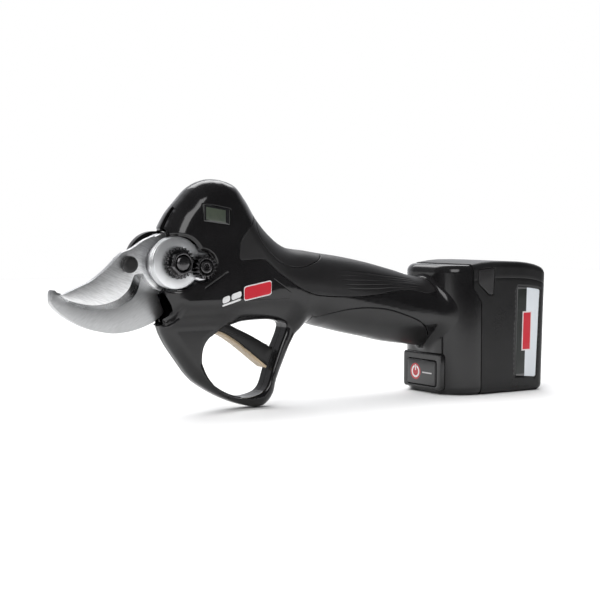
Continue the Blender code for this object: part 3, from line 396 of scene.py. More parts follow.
def wall_piece(name, parts, finish, body, replaces=()):
    """One object from thick walls with their own corner normals."""
    verts, faces, corners, start = [], [], [], 0
    for v, f, c in parts:
        verts.append(v)
        faces.append(f + start)
        corners.append(c)
        start += len(v)
    mesh = bpy.data.meshes.new(name)
    mesh.from_pydata(world(np.vstack(verts)).tolist(), [], np.vstack(faces).tolist())
    mesh.shade_smooth()
    mesh.normals_split_custom_set(np.vstack(corners).reshape(-1, 3).tolist())
    return finish_piece(name, mesh, finish, body, replaces)


# %% [markdown]
# ## Turned, stacked and drawn shapes
# Screws, nuts, plates and buttons are simpler: a profile turned round an axis, or an outline stacked
# in layers that draw in along a quarter circle at each face, which gives the small rounded edge that
# every real part has.
# %% Solids from rings
def across(u, v, t):
    """Flat shape in the side view, thickness along y."""
    return np.stack([u, t + 0 * u, v], -1)


def upward(u, v, t):
    """Flat shape in plan, thickness along z."""
    return np.stack([u, v, t + 0 * u], -1)


def lengthwise(u, v, t):
    """Flat shape seen from the front, thickness along x."""
    return np.stack([t + 0 * u, u, v], -1)


def solid_piece(name, parts, finish, body, replaces=(), angle=38):
    """One object from (points, faces) parts; each is turned so that its volume is positive."""
    verts, faces, start = [], [], 0
    for v, f in parts:
        v = np.asarray(v, float)
        corner = np.array([[face[0], face[i], face[i + 1]] for face in f for i in range(1, len(face) - 1)])
        a, b, c = v[corner[:, 0]], v[corner[:, 1]], v[corner[:, 2]]
        flip = (np.cross(a, b) * c).sum() < 0
        faces += [[i + start for i in (face[::-1] if flip else face)] for face in f]
        verts.append(v)
        start += len(v)
    mesh = bpy.data.meshes.new(name)
    mesh.from_pydata(world(np.vstack(verts)).tolist(), [], faces)
    mesh.shade_smooth()
    mesh.set_sharp_from_angle(angle=math.radians(angle))
    return finish_piece(name, mesh, finish, body, replaces)


def lathe(profile, centre, steps=72, frame=across):
    """Turns a closed (radius, height) profile: one ring of points for each profile point."""
    profile = np.array(profile, float)
    angles = np.arange(steps) * 2 * np.pi / steps
    r, t = profile[:, :1], profile[:, 1:]
    verts = frame(centre[0] + r * np.cos(angles), centre[1] + r * np.sin(angles), t).reshape(-1, 3)
    faces = []
    rings = len(profile)
    for k in range(rings):
        on = (k + 1) % rings
        if r[k, 0] < 1e-6 and r[on, 0] < 1e-6:
            continue
        i = np.arange(steps)
        j = (i + 1) % steps
        if r[k, 0] < 1e-6:
            faces += np.stack([k * steps + 0 * i, on * steps + j, on * steps + i], 1).tolist()
        elif r[on, 0] < 1e-6:
            faces += np.stack([k * steps + i, k * steps + j, on * steps + 0 * i], 1).tolist()
        else:
            faces += np.stack([k * steps + i, k * steps + j, on * steps + j, on * steps + i], 1).tolist()
    used = sorted({i for face in faces for i in face})
    renumber = {old: new for new, old in enumerate(used)}
    return verts[used], [[renumber[i] for i in face] for face in faces]


def stack(loops, levels, frame=across, tops=None):
    """Plate with holes: every loop is repeated at each (inset, height) level and the ends are capped.
    tops, where given, are the loops of the last levels' face."""
    loops = [facing(loop, 1 if k == 0 else -1) for k, loop in enumerate(loops)]
    tops = loops if tops is None else [facing(loop, 1 if k == 0 else -1) for k, loop in enumerate(tops)]
    low, high = levels[0][1], levels[-1][1]
    verts, faces = [], []
    size = sum(len(loop) for loop in loops)
    rings = []
    for inset, height in levels:
        share = (height - low) / (high - low)
        share = 1.0 if share > 0.5 else 0.0
        moved = [offset(a + (b - a) * share, inset) for a, b in zip(loops, tops)]
        rings.append(np.vstack(moved))
        verts.append(frame(rings[-1][:, 0], rings[-1][:, 1], height))
    for k in range(len(levels) - 1):
        start = k * size
        for loop in loops:
            i = start + np.arange(len(loop))
            j = start + (np.arange(len(loop)) + 1) % len(loop)
            faces += np.stack([i, j, j + size, i + size], 1).tolist()
            start += len(loop)
    for level, ring in ((0, rings[0]), (len(levels) - 1, rings[-1])):
        pieces, start = [], 0
        for loop in loops:
            pieces.append((ring[start:start + len(loop)], True))
            start += len(loop)
        edges, start = [], 0
        for p, _ in pieces:
            edges += [(start + i, start + (i + 1) % len(p)) for i in range(len(p))]
            start += len(p)
        placed, _, made, origin, *_ = delaunay_2d_cdt([Vector(p) for p in ring.tolist()], edges, [], 0, 1e-6)
        flat = np.array([tuple(p) for p in placed])
        tri = np.array([f for f in made if len(f) == 3])
        middle = flat[tri].mean(1)
        kept = inside(middle, pieces[0][0])
        for hole, _ in pieces[1:]:
            kept &= ~inside(middle, hole)
        tri = tri[kept]
        c = flat[tri]
        area = np.cross(c[:, 1] - c[:, 0], c[:, 2] - c[:, 0])
        tri[area < 0] = tri[area < 0][:, ::-1]
        index = np.array([o[0] if o else 0 for o in origin]) + level * size
        cap = index[tri]
        faces += (cap[:, ::-1] if level == 0 else cap).tolist()
    return np.vstack(verts), faces


def rounded_levels(low, high, edge, steps=3, low_edge=None):
    """Heights and insets of a plate's layers: a quarter circle at each face."""
    low_edge = edge if low_edge is None else low_edge
    sign = 1 if high > low else -1
    a = np.linspace(0, np.pi / 2, steps + 1)
    bottom = [(low_edge * (1 - math.sin(t)), low + sign * low_edge * (1 - math.cos(t))) for t in a]
    top = [(edge * (1 - math.sin(t)), high - sign * edge * (1 - math.cos(t))) for t in a[::-1]]
    return bottom + top


def plate(loops, low, high, edge=0.3, frame=across, steps=3, low_edge=None, tops=None):
    """Plate of even thickness with rounded edges."""
    return stack(loops, rounded_levels(low, high, edge, steps, low_edge), frame, tops=tops)


def rounded_box(x0, x1, y0, y1, radius, count=7):
    """Rectangle with quarter circle corners."""
    corners = [((x1 - radius, y1 - radius), 0), ((x0 + radius, y1 - radius), 90),
               ((x0 + radius, y0 + radius), 180), ((x1 - radius, y0 + radius), 270)]
    return np.vstack([arc(centre, radius, start, start + 90, count) for centre, start in corners])


def gear_line(centre, teeth, module, phase=0.0):
    """Outline of straight-sided teeth; phase is the angle of a tooth's middle."""
    pitch = 2 * math.pi / teeth
    radius = module * teeth / 2
    reach = np.array([radius - 1.25 * module, radius + 0.85 * module] * 2)[[0, 1, 1, 0]]
    shift = np.array([-0.29, -0.10, 0.10, 0.29])
    angle = phase + (np.arange(teeth)[:, None] + shift) * pitch
    return np.stack([centre[0] + reach * np.cos(angle), centre[1] + reach * np.sin(angle)], -1).reshape(-1, 2)


# %% [markdown]
# ## Finishes
# Each finish is one Principled shader. Shader maths is written as ordinary expressions: a small class
# wraps a socket and adds the Math node behind each operator. Patterns read object coordinates, so they
# stay with the piece when it moves.
# %% Expressions on sockets
class Value:
    """A node's output that can be added, scaled and compared."""

    def __init__(self, finish, socket):
        self.finish = finish
        self.socket = socket

    def math(self, operation, *others):
        sockets = dict(enumerate([self, *others]))
        return self.finish.node("ShaderNodeMath", {"operation": operation}, sockets)

    def __add__(self, other):
        return self.math("ADD", other)

    __radd__ = __add__

    def __sub__(self, other):
        return self.math("SUBTRACT", other)

    def __rsub__(self, other):
        return (self * -1) + other

    def __mul__(self, other):
        return self.math("MULTIPLY", other)

    __rmul__ = __mul__

    def smaller(self, other):
        return self.math("MINIMUM", other)

    def larger(self, other):
        return self.math("MAXIMUM", other)

    def sine(self):
        return self.math("SINE")

    def root(self):
        return self.math("SQRT")

    def between(self, low, high):
        """0 below low, 1 above high, a smooth step from one to the other."""
        return self.finish.node("ShaderNodeMapRange", {"interpolation_type": "SMOOTHSTEP"},
                                {"Value": self, "From Min": low, "From Max": high})


class Finish:
    """A material in the making."""

    def __init__(self, name, **fixed):
        self.material = bpy.data.materials.new(name)
        self.material.use_nodes = True
        self.tree = self.material.node_tree
        self.shader = self.tree.nodes["Principled BSDF"]
        for key, value in fixed.items():
            self.shader.inputs[key.replace("_", " ")].default_value = value

    def node(self, kind, settings, sockets, output=0):
        """Adds any node: its settings first, then the values or links of its sockets."""
        made = self.tree.nodes.new(kind)
        for key, value in settings.items():
            setattr(made, key, value)
        for key, value in sockets.items():
            if isinstance(value, Value):
                self.tree.links.new(value.socket, made.inputs[key])
            else:
                made.inputs[key].default_value = value
        return Value(self, made.outputs[output])

    def place(self):
        """Object coordinates in millimetres of the side view: three values."""
        at = self.node("ShaderNodeTexCoord", {}, {}, "Object")
        parts = [self.node("ShaderNodeSeparateXYZ", {}, {0: at}, k) for k in "XYZ"]
        return parts[0] * 1000 - X_SHIFT, parts[1] * 1000, parts[2] * 1000

    def noise(self, scale, detail=2.0, stretch=(1, 1, 1), tilt=0.0):
        """Noise from 0 to 1; scale counts waves in a metre, stretch scales each axis."""
        at = self.node("ShaderNodeTexCoord", {}, {}, "Object")
        turned = self.node("ShaderNodeMapping", {}, {"Vector": at, "Rotation": (0, tilt, 0)})
        moved = self.node("ShaderNodeMapping", {}, {"Vector": turned, "Scale": stretch})
        return self.node("ShaderNodeTexNoise", {}, {"Vector": moved, "Scale": scale, "Detail": detail})

    def mix(self, share, first, second):
        """Colour that goes from first to second as share goes from 0 to 1."""
        colours = {}
        for key, colour in ((6, first), (7, second)):
            colours[key] = colour if isinstance(colour, Value) else (*colour, 1)
        return self.node("ShaderNodeMix", {"data_type": "RGBA"}, {0: share, **colours}, 2)

    def feed(self, **sockets):
        for key, value in sockets.items():
            self.tree.links.new(value.socket, self.shader.inputs[key.replace("_", " ")])

    def bump(self, height, depth_mm):
        """Raises the surface by height times depth_mm, as seen by the light only."""
        self.feed(Normal=self.node("ShaderNodeBump", {}, {"Height": height, "Distance": depth_mm * MM,
                                                          "Strength": 1.0}))


def plastic(name, colour, rough, grain_mm, grain_size, gloss=0.5, wear=0.06):
    """Moulded plastic: fine grain in the surface, and a slow drift in gloss from handling."""
    made = Finish(name, Roughness=rough, IOR=1.47, Specular_IOR_Level=gloss)
    drift = made.noise(45, 3)
    grain = made.noise(1000 / grain_size, 2)
    lighter = tuple(c * 1.5 + 0.001 for c in colour)
    made.feed(Base_Color=made.mix(drift.between(0.3, 0.75), colour, lighter),
              Roughness=(drift - 0.5) * wear * 2 + rough + (grain - 0.5) * wear)
    made.bump(grain, grain_mm)
    return made.material


def brushed_metal(name, colour, rough, tilt=0.0, stretch=(6, 60, 60), streak=0.12, depth=0.004):
    """Ground metal: long fine scratches along one direction, some duller than others."""
    made = Finish(name, Metallic=1.0, Roughness=rough)
    lines = made.noise(40, 4, stretch, tilt)
    smudge = made.noise(60, 3)
    darker = tuple(c * 0.82 for c in colour)
    made.feed(Base_Color=made.mix(lines.between(0.35, 0.65), darker, colour),
              Roughness=(lines - 0.5) * streak + (smudge - 0.5) * 0.12 + rough)
    made.bump(lines, depth)
    return made


# %% Plastics, rubber and metals
finishes = {}
finishes["gloss"] = plastic("gloss_plastic_black", (0.0065, 0.0062, 0.0066), 0.13, 0.0012, 3.0, wear=0.03)
finishes["satin"] = plastic("satin_plastic_black", (0.0085, 0.0083, 0.0086), 0.30, 0.006, 0.55, gloss=0.32)
finishes["grip"] = plastic("soft_grip_black", (0.010, 0.0095, 0.010), 0.42, 0.012, 0.5, wear=0.08)
finishes["smooth_grip"] = plastic("palm_grip_black", (0.009, 0.0088, 0.009), 0.30, 0.004, 0.7, wear=0.05)
finishes["rubber"] = plastic("stop_rubber_black", (0.006, 0.006, 0.006), 0.5, 0.02, 0.6)
finishes["cream"] = plastic("trigger_strip_tan", (0.42, 0.33, 0.22), 0.5, 0.02, 0.8)


def machined(name, colour, rough, centre, pitch_mm):
    """Turned metal: rings round the pivot left by the lathe, as a sine of the distance to it."""
    made = Finish(name, Metallic=1.0, Roughness=rough)
    x, _, z = made.place()
    dx, dz = x - centre[0], z - centre[1]
    distance = (dx * dx + dz * dz).root()
    rings = (distance * (2 * math.pi / pitch_mm)).sine() * 0.5 + 0.5
    wander = made.noise(70, 3)
    made.feed(Base_Color=made.mix(wander.between(0.3, 0.7), colour, tuple(c * 0.86 for c in colour)),
              Roughness=rings * 0.10 + (wander - 0.5) * 0.14 + rough)
    made.bump(rings * 0.6 + wander * 0.4, 0.006)
    return made.material


def tool_steel(name, colour, rough):
    """Blackened steel: dark oxide with paler, smoother patches where it has rubbed."""
    made = Finish(name, Metallic=1.0, Roughness=rough)
    patch = made.noise(260, 4)
    worn = patch.between(0.52, 0.72)
    made.feed(Base_Color=made.mix(worn, colour, tuple(c * 2.2 for c in colour)),
              Roughness=worn * -0.1 + rough)
    made.bump(patch, 0.02)
    return made.material


finishes["machined"] = machined("head_block_machined", (0.80, 0.81, 0.82), 0.40, PIVOT, 0.9)
finishes["steel"] = tool_steel("lock_steel_dark", (0.085, 0.083, 0.085), 0.26)
finishes["gear_steel"] = tool_steel("gear_steel", (0.22, 0.22, 0.23), 0.32)
finishes["blade"] = brushed_metal("blade_steel_ground", (0.90, 0.905, 0.91), 0.38, math.radians(-22)).material
finishes["hook"] = brushed_metal("counter_blade_ground", (0.50, 0.505, 0.51), 0.36, math.radians(35)).material
finishes["edge"] = brushed_metal("ground_edge", (0.36, 0.365, 0.37), 0.26, math.radians(60),
                                 streak=0.08).material

# %% [markdown]
# Printed and see-through parts carry their pattern in the material: the display's grey-green glass in
# its thin frame, the label's plain bands, and the ring on the power button. They are all drawn as
# masks: a distance, turned into 0 or 1 with a soft step a few hundredths of a millimetre wide.
# %% Masks
def band(value, low, high, soft=0.05):
    """1 between low and high."""
    return value.between(low - soft, low + soft) * (1 - value.between(high - soft, high + soft))


def display_finish():
    """Glass over a liquid crystal panel: sheared with the opening, which leans with the head."""
    made = Finish("display_glass", Roughness=0.06, Coat_Weight=0.6, Coat_Roughness=0.03)
    x, _, z = made.place()
    rise = z - 110.15 + (x + 69.5) * 0.155
    panel = band(x, -76.2, -64.0) * band(rise, -3.5, 3.4)
    frame_line = 1 - band(x, -77.2, -61.9) * band(rise, -4.5, 4.4)
    cloud = made.noise(220, 2)
    green = made.mix(cloud.between(0.3, 0.7), (0.050, 0.062, 0.046), (0.066, 0.080, 0.058))
    dark = made.mix(frame_line.smaller(1), (0.010, 0.010, 0.011), (0.055, 0.056, 0.054))
    made.feed(Base_Color=made.mix(panel, dark, green), Roughness=panel * 0.22 + 0.06)
    return made.material


def label_finish():
    """Printed foil: a dark strip, a white panel, a thin pale border and a plain red bar."""
    made = Finish("label_foil", Roughness=0.35)
    x, _, z = made.place()
    lean = x - 145.0 - (z - 38.0) * 0.028
    white = band(lean, -1.3, 9.4)
    border = 1 - band(lean, -8.6, 9.3) * band(z, 11.2, 64.4)
    fibres = made.noise(500, 2)
    base = made.mix(white, (0.014, 0.017, 0.015), (0.78, 0.82, 0.86))
    edged = made.mix(border.smaller(1) * (1 - white), base, (0.12, 0.12, 0.12))
    red = band(lean, -3.4, 2.6, 0.12) * band(z, 26.5, 49.5, 0.12)
    rim = band(lean, -4.2, 3.4, 0.12) * band(z, 25.7, 50.3, 0.12)
    rimmed = made.mix(rim, edged, (0.80, 0.74, 0.75))
    made.feed(Base_Color=made.mix(red, rimmed, (0.62, 0.012, 0.030)), Roughness=fibres * 0.1 + 0.28)
    return made.material


def button_finish():
    """Rocker cap: a red disc with a white open ring and stroke, and a short white dash beside it."""
    made = Finish("power_button_print", Roughness=0.3, Coat_Weight=0.3, Coat_Roughness=0.1)
    _, y, z = made.place()
    dy, dz = y - 5.6, z - 12.9
    distance = (dy * dy + dz * dz).root()
    gap = band(dy, -0.95, 0.95) * dz.between(0.3, 0.5)
    ring = band(distance, 2.7, 3.9) * (1 - gap)
    stroke = band(dy, -0.45, 0.45) * band(dz, 0.6, 4.2)
    dash = band(y, -10.6, -1.2) * band(z, 12.4, 13.2)
    grain = made.noise(900, 2)
    ground = made.mix(grain, (0.012, 0.012, 0.0125), (0.017, 0.017, 0.018))
    dot = made.mix(1 - distance.between(5.0, 5.15), ground, (0.50, 0.010, 0.020))
    made.feed(Base_Color=made.mix((ring + stroke).smaller(1).larger(dash * 0.7), dot, (0.85, 0.83, 0.83)),
              Roughness=grain * 0.1 + 0.28)
    made.bump(grain, 0.004)
    return made.material


def print_finish(name, colour, rough=0.35):
    """Thick screen ink, with a slight unevenness."""
    made = Finish(name, Roughness=rough)
    ink = made.noise(700, 3)
    made.feed(Base_Color=made.mix(ink, colour, tuple(c * 0.9 for c in colour)),
              Roughness=ink * 0.12 + rough - 0.06)
    made.bump(ink, 0.004)
    return made.material


def striped(name, dark, light, across_mm, metallic=0.0, rough=0.4):
    """Even bands along x, for windings, tracks and cell sleeves inside the housing."""
    made = Finish(name, Metallic=metallic, Roughness=rough)
    x, _, z = made.place()
    wave = ((x + z * 0.15) * (2 * math.pi / across_mm)).sine() * 0.5 + 0.5
    grain = made.noise(400, 3)
    made.feed(Base_Color=made.mix(wave.between(0.35, 0.65), dark, light), Roughness=grain * 0.2 + rough - 0.1)
    made.bump(wave * 0.7 + grain * 0.3, 0.02)
    return made.material


finishes["display"] = display_finish()
finishes["label"] = label_finish()
finishes["button"] = button_finish()
finishes["red"] = print_finish("badge_red", (0.60, 0.012, 0.028))
finishes["white"] = print_finish("lettering_white", (0.82, 0.82, 0.82))
finishes["board"] = striped("circuit_board", (0.010, 0.075, 0.030), (0.016, 0.11, 0.045), 1.8)
finishes["cells"] = striped("cell_sleeve", (0.02, 0.10, 0.24), (0.026, 0.13, 0.30), 9.0)
finishes["copper"] = striped("copper_wire", (0.50, 0.24, 0.12), (0.78, 0.42, 0.24), 0.7, 1.0, 0.35)
print("finishes:", len(finishes))

# %% Finishes for the measured parts that stay
by_slot = {"satin_plastic": "satin", "dark_steel": "gear_steel", "aluminium": "machined", "board": "board",
           "cell_wrap": "cells", "copper": "copper", "rubber": "rubber", "gloss_plastic": "gloss",
           "soft_grip": "grip", "blade_steel": "blade", "cream": "cream", "display": "display",
           "label": "label"}
for name, node in frame["nodes"].items():
    for spot in node.material_slots:
        if spot.material:
            family = spot.material.name.split(".")[0]
            spot.material = finishes[by_slot.get(family, "satin")]
print("measured parts finished:", len(frame["nodes"]))

# %% [markdown]
# ## The housing's form
# Seen from the side the housing is one outline with a finger window. Its thickness is a pillow: full
# width in the middle, falling off as a quarter ellipse within an edge band. The head and handle are
# all edge band, so they feel round. The guard is rounded widely at its outside and narrowly at the
# finger window, so the form is the lower of two pillows, one for each outline.
# %% Outlines of the housing
rim_line = spline(TOP_LINE + FRONT_LINE + BOTTOM_LINE, 1.2)
rim_line[:, 1] = np.clip(rim_line[:, 1], 0.0, 130.15)
window_loop = facing(spline(WINDOW_LINE, 1.2, closed=True), -1)
end_line = np.stack([np.full(24, 96.0), np.linspace(rim_line[-1, 1], rim_line[0, 1], 24)], 1)
body_loop = np.vstack([rim_line, end_line[1:-1]])
edge_lines = [(rim_line, False), (window_loop, True)]
print("outline points:", len(rim_line), "window points:", len(window_loop))


def body_blend(points):
    """0 in the slim trigger guard, 1 in the full-width head and handle."""
    line = 47 - 17 * ease((points[:, 0] + 22) / 24)
    return ease((points[:, 1] - line) / 16)


def body_measures(points, guard=GUARD_EDGE):
    """Half width, edge band in the side view, and how much of the width the rounding takes; guard is
    the size of the rounding where the form is slim."""
    t = ease((points[:, 0] + 60) / 40)
    blend = body_blend(points)
    full = HEAD_HALF_WIDTH + (HANDLE_HALF_WIDTH - HEAD_HALF_WIDTH) * t
    width = GUARD_HALF_WIDTH + (full - GUARD_HALF_WIDTH) * blend
    edge = guard + (HEAD_EDGE + (HANDLE_EDGE - HEAD_EDGE) * t - guard) * blend
    rounding = guard * 0.9 + (width - guard * 0.9) * blend
    return np.stack([width, edge, rounding])


def body_surface(points):
    """The lower of two pillows: one rounds over at the outside rim, one at the finger window."""
    rim = pillow(points, edge_lines[:1], GUARD_RIM)
    window = pillow(points, edge_lines[1:], GUARD_EDGE)
    lower = window[0] < rim[0]
    height, normal = np.where(lower, window[0], rim[0]), np.where(lower[:, None], window[1], rim[1])
    return height, normal, np.minimum(rim[2], window[2])


def pillow(points, lines, guard):
    """Half thickness h = width - rounding + rounding sin a, where cos a = 1 - depth / edge band; and
    the outward normal of that surface for the +y side, from the same formula's slopes."""
    distance, _, away = nearest(points, lines)
    step = 0.05
    width, edge, rounding = body_measures(points, guard)
    slopes = [(body_measures(points + move, guard) - body_measures(points - move, guard)) / (2 * step)
              for move in ((step, 0), (0, step))]
    share = np.clip(distance / edge, 0, 1)
    cos_a = 1 - share
    sin_a = np.sqrt(np.clip(1 - cos_a ** 2, 0, 1))
    height = width - rounding + rounding * sin_a
    normal = np.zeros((len(points), 3))
    normal[:, 1] = edge * sin_a
    for axis, k, (dw, de, dr) in ((0, 0, slopes[0]), (2, 1, slopes[1])):
        normal[:, axis] = -(edge * sin_a * (dw - dr + dr * sin_a)
                            + rounding * cos_a * (away[:, k] - share * de))
    return height, normal / np.linalg.norm(normal, axis=1)[:, None], distance


def edge_rings(degrees=(14, 26, 38, 50, 62, 74, 86)):
    """Seed points that follow the outline at equal turns of the rounding."""
    found = []
    for line, closed in edge_lines:
        inward = offset(line, 1.0, closed) - line
        edge = body_measures(line, GUARD_EDGE if closed else GUARD_RIM)[1][:, None]
        for k, a in enumerate(degrees):
            reach = edge * (1 - math.cos(math.radians(a)))
            ring = line + reach * inward
            true_depth = nearest(ring, edge_lines)[0]
            step = 1 if k < 4 else 2
            found.append(ring[true_depth > 0.93 * reach[:, 0]][::step])
    return np.vstack(found)


ring_seeds = edge_rings()
print("edge ring points:", len(ring_seeds))


# %% [markdown]
# The housing halves and the grips share that form. What differs is where each one is kept, and how
# deep it is let in: recesses under the grips, countersunk rims round the head block, and creases.
# %% Carving
def carved_skin(side, lines, keep, carve, floor, spacing=1.6):
    """Half of the housing's form: net, pillow height, carved depth, and a wall down to the middle
    plane (or the height floor gives) along the outline."""
    flat, faces = net(lines, keep, ring_seeds[keep(ring_seeds)], spacing)
    height, normal, distance = body_surface(flat)
    depth = carve(flat)
    step = 0.03
    gx = (carve(flat + (step, 0)) - carve(flat - (step, 0))) / (2 * step)
    gz = (carve(flat + (0, step)) - carve(flat - (0, step))) / (2 * step)
    low = floor(flat)
    tall = np.maximum(height, low + 0.3)
    base = np.stack([flat[:, 0], tall, flat[:, 1]], 1)
    slope = np.stack([gx, 0 * gx, gz], 1)
    steep = np.linalg.norm(slope, axis=1) > 2.5
    slope[steep] = 0
    bent = normal + slope - (slope * normal).sum(1)[:, None] * normal
    bent /= np.linalg.norm(bent, axis=1)[:, None]
    verts = base - depth[:, None] * normal
    verts[:, 1] = np.maximum(verts[:, 1], low + 0.05)
    rim = border(faces)
    on_edge = (distance < 2e-3) & (flat[:, 0] < 95.9)
    rim = rim[on_edge[rim].all(1)]
    used = np.unique(rim)
    foot = np.full(len(flat), -1)
    foot[used] = len(flat) + np.arange(len(used))
    bottom = verts[used] * (1, 0, 1) + np.stack([0 * used, low[used], 0 * used], 1)
    sideways = normal[used] * (1, 0, 1)
    sideways /= np.maximum(np.linalg.norm(sideways, axis=1), 1e-9)[:, None]
    a, b = rim.T
    walls = np.vstack([np.stack([b, a, foot[a]], 1), np.stack([b, foot[a], foot[b]], 1)])
    verts = np.vstack([verts, bottom])
    bent = np.vstack([bent, sideways])
    faces = np.vstack([faces, walls])
    flip = np.array([1, side, 1])
    verts = verts * flip
    bent = bent * flip
    lean = (face_normals(verts, faces) * bent[faces[:, 0]]).sum(1)
    if np.median(lean) < 0:
        faces = faces[:, ::-1]
    return verts, faces, bent


def grown(loop, amount):
    """A closed loop moved outwards."""
    return offset(facing(loop, 1), -amount)


grip_loop = facing(spline(GRIP_AREA, 0.9, closed=True), 1)
palm_loop = facing(spline(PALM_AREA, 0.9, closed=True), 1)
thumb_loop = facing(spline(THUMB_REST, 0.9, closed=True), 1)
GAP = 0.3
DRUM_HOLE, PINION_HOLE, BOSS_HOLE, SCREW_HOLE = 14.8, 8.5, 17.5, 2.6
drum_rings = [circle(PIVOT, DRUM_HOLE + k, 150) for k in (0, 0.7, 1.4, 1.65, 1.95)]
boss_rings = [circle(PIVOT, BOSS_HOLE + k, 150) for k in (0, 0.7, 1.4, 1.8)]
pinion_rings = [circle(LOCK_PINION, PINION_HOLE + k, 96) for k in (0, 0.7, 1.4, 1.65, 1.95)]
crease_below_pinion = np.array([(-77.5, 69.6), (-76, 70.5), (-70.8, 73.7), (-67, 75.9), (-62.4, 78.9)])
crease_body = np.array([(-50.6, 63.1), (-39.7, 63.0), (-30, 63.1), (-21.4, 63.5)])
crease_slant = np.array([(-35, 74.8), (-28.6, 70.5), (-21.4, 65.6)])
scoop_line = spline([(-103, 53.4), (-99.1, 49.7), (-95.2, 48.6), (-90.7, 51.1), (-87.4, 55.9)], 0.6)
ridge_lines = [spline(line, 1.2) for line in (
    [(8.8, 78.0), (24.9, 76.9), (42.2, 74.8), (60.0, 72.6), (73, 70.6)],
    [(8.0, 75.3), (24.9, 74.5), (44, 73.0), (62.0, 71.3), (74, 69.4)],
    [(10.5, 72.7), (24.9, 72.0), (46.7, 71.1), (64.5, 70.0), (75, 68.0)],
    [(12.2, 69.9), (29.2, 69.2), (51.1, 68.9), (67.3, 67.7), (75, 66.4)],
    [(13.9, 67.4), (33.6, 66.7), (51.1, 67.0), (66, 66.4), (73, 65.4)])]


def groove(points, line, half, depth, fade=3.0):
    """Round-bottomed groove: depth times (1 - (distance / half) squared) squared, fading at its ends."""
    distance = nearest(points, [(line, False)])[0]
    ends = np.minimum(np.linalg.norm(points - line[0], axis=1), np.linalg.norm(points - line[-1], axis=1))
    share = np.clip(1 - (distance / half) ** 2, 0, 1)
    return depth * share ** 2 * ease(ends / fade)


def countersink(distance, rim_width=1.5, depth=1.1):
    """Rim round a hole: a slope that meets the surface in a small rounding."""
    return depth * np.clip(1 - distance / rim_width, 0, 1) + fillet(np.abs(distance - rim_width), 0.3) * 0.35


def scoop(points):
    """Bite under the jaw: steep at its lower line, rising back to the surface above it."""
    distance, side, _ = nearest(points, [(scoop_line, False)])
    above = np.where(side > 0, distance, 0)
    near = ease((-86.8 - points[:, 0]) / 4)
    return 2.1 * ease(above / 0.9) * (1 - ease((above - 0.9) / 8)) * near * (points[:, 1] < 68)


def housing_carve(points, left):
    """Depth of the housing's surface below its plain form."""
    depth = np.zeros(len(points))
    for pad in (grip_loop, palm_loop):
        within = depth_within(points, pad) + GAP
        depth = np.maximum(depth, RECESS * np.clip(within / 0.25, 0, 1))
        depth = np.maximum(depth, fillet(np.clip(-within, 0, None), 0.25) * (within <= 0))
    near_pivot = np.linalg.norm(points - PIVOT, axis=1)
    depth = np.maximum(depth, countersink(np.clip(near_pivot - (DRUM_HOLE if left else BOSS_HOLE), 0, None)))
    if left:
        near_pinion = np.linalg.norm(points - LOCK_PINION, axis=1)
        depth = np.maximum(depth, countersink(np.clip(near_pinion - PINION_HOLE, 0, None)))
        window = depth_within(points, display_loop)
        depth = np.maximum(depth, fillet(np.clip(-window, 0, None), 0.5) * (window <= 0))
        depth = depth + groove(points, crease_below_pinion, 0.9, 0.55, 2.0)
    depth = depth + groove(points, crease_body, 0.5, 0.16) + groove(points, crease_slant, 0.5, 0.12)
    return depth + scoop(points)


def side_by_side(line, half):
    """Seed lines along a groove: its middle and both its sides."""
    return [(resample(offset(line, k * half, closed=False), 0.8), False) for k in (-1, -0.5, 0, 0.5, 1)]


display_loop = facing(soften(DISPLAY, 0.8), 1)
JAW_NOTCH = [(-106, 68.4), (-97.9, 67.9), (-95.4, 61.2), (-94.2, 56.4), (-98.6, 52.4), (-106, 49)]
jaw_notch = facing(soften(JAW_NOTCH, 0.8), 1)
frame_lines = [(body_loop, True), (window_loop, True)]
pad_lines = [(grown(loop, GAP + k), True) for loop in (grip_loop, palm_loop) for k in (0.25, 0.1, 0, -0.25)]


def lower_limit(points, left):
    """How near the middle plane the shell reaches: it stops short for hub, blade, jaw and trigger."""
    x, z = points.T
    near = np.linalg.norm(points - PIVOT, axis=1)
    low = np.full(len(points), SEAM)
    hub, blade = (8.6, 4.4) if left else (5.4, 0.5)
    low = np.where((near < 30) & (x < -84), blade, low)
    low = np.where((x < -92.5) & (z < 75) & (z > 49.5), 4.4 if left else 5.4, low)
    low = np.where(near < 18, hub, low)
    return np.where((x > -77.6) & (x < -22) & (z > 42) & (z < 56), 6.0, low)


def housing_half(side):
    """One half of the housing, as a wall 1.8 mm thick."""
    left = side < 0
    holes = [(PIVOT, DRUM_HOLE if left else BOSS_HOLE)]
    holes += [(LOCK_PINION, PINION_HOLE)] if left else [(spot, SCREW_HOLE) for _, spot, _ in HOUSING_SCREWS]

    def keep(points):
        kept = inside(points, body_loop) & ~inside(points, window_loop)
        for centre, radius in holes:
            kept &= np.linalg.norm(points - centre, axis=1) > radius * 0.9995
        return kept & ~inside(points, display_loop) & ~inside(points, jaw_notch) if left else kept

    lines = frame_lines + pad_lines
    lines += [(circle(c, r, max(20, round(r * 10))), True) for c, r in holes if r < 4]
    rings = drum_rings + pinion_rings if left else boss_rings
    lines += [(ring, True) for ring in rings]
    if left:
        lines += [(resample(grown(display_loop, k), 0.6, True), True) for k in (0, 0.08, 0.25, 0.5)]
        lines += side_by_side(crease_below_pinion, 0.9)
        lines += [(resample(jaw_notch, 0.8, True), True)]
    lines += side_by_side(crease_body, 0.5) + side_by_side(crease_slant, 0.5)
    lines += [(offset(scoop_line, k, closed=False), False) for k in (0, 0.3, 0.6, 0.9)]
    skin = carved_skin(side, lines, keep, lambda p: housing_carve(p, left), lambda p: lower_limit(p, left))
    return thicken(*skin, SHELL)


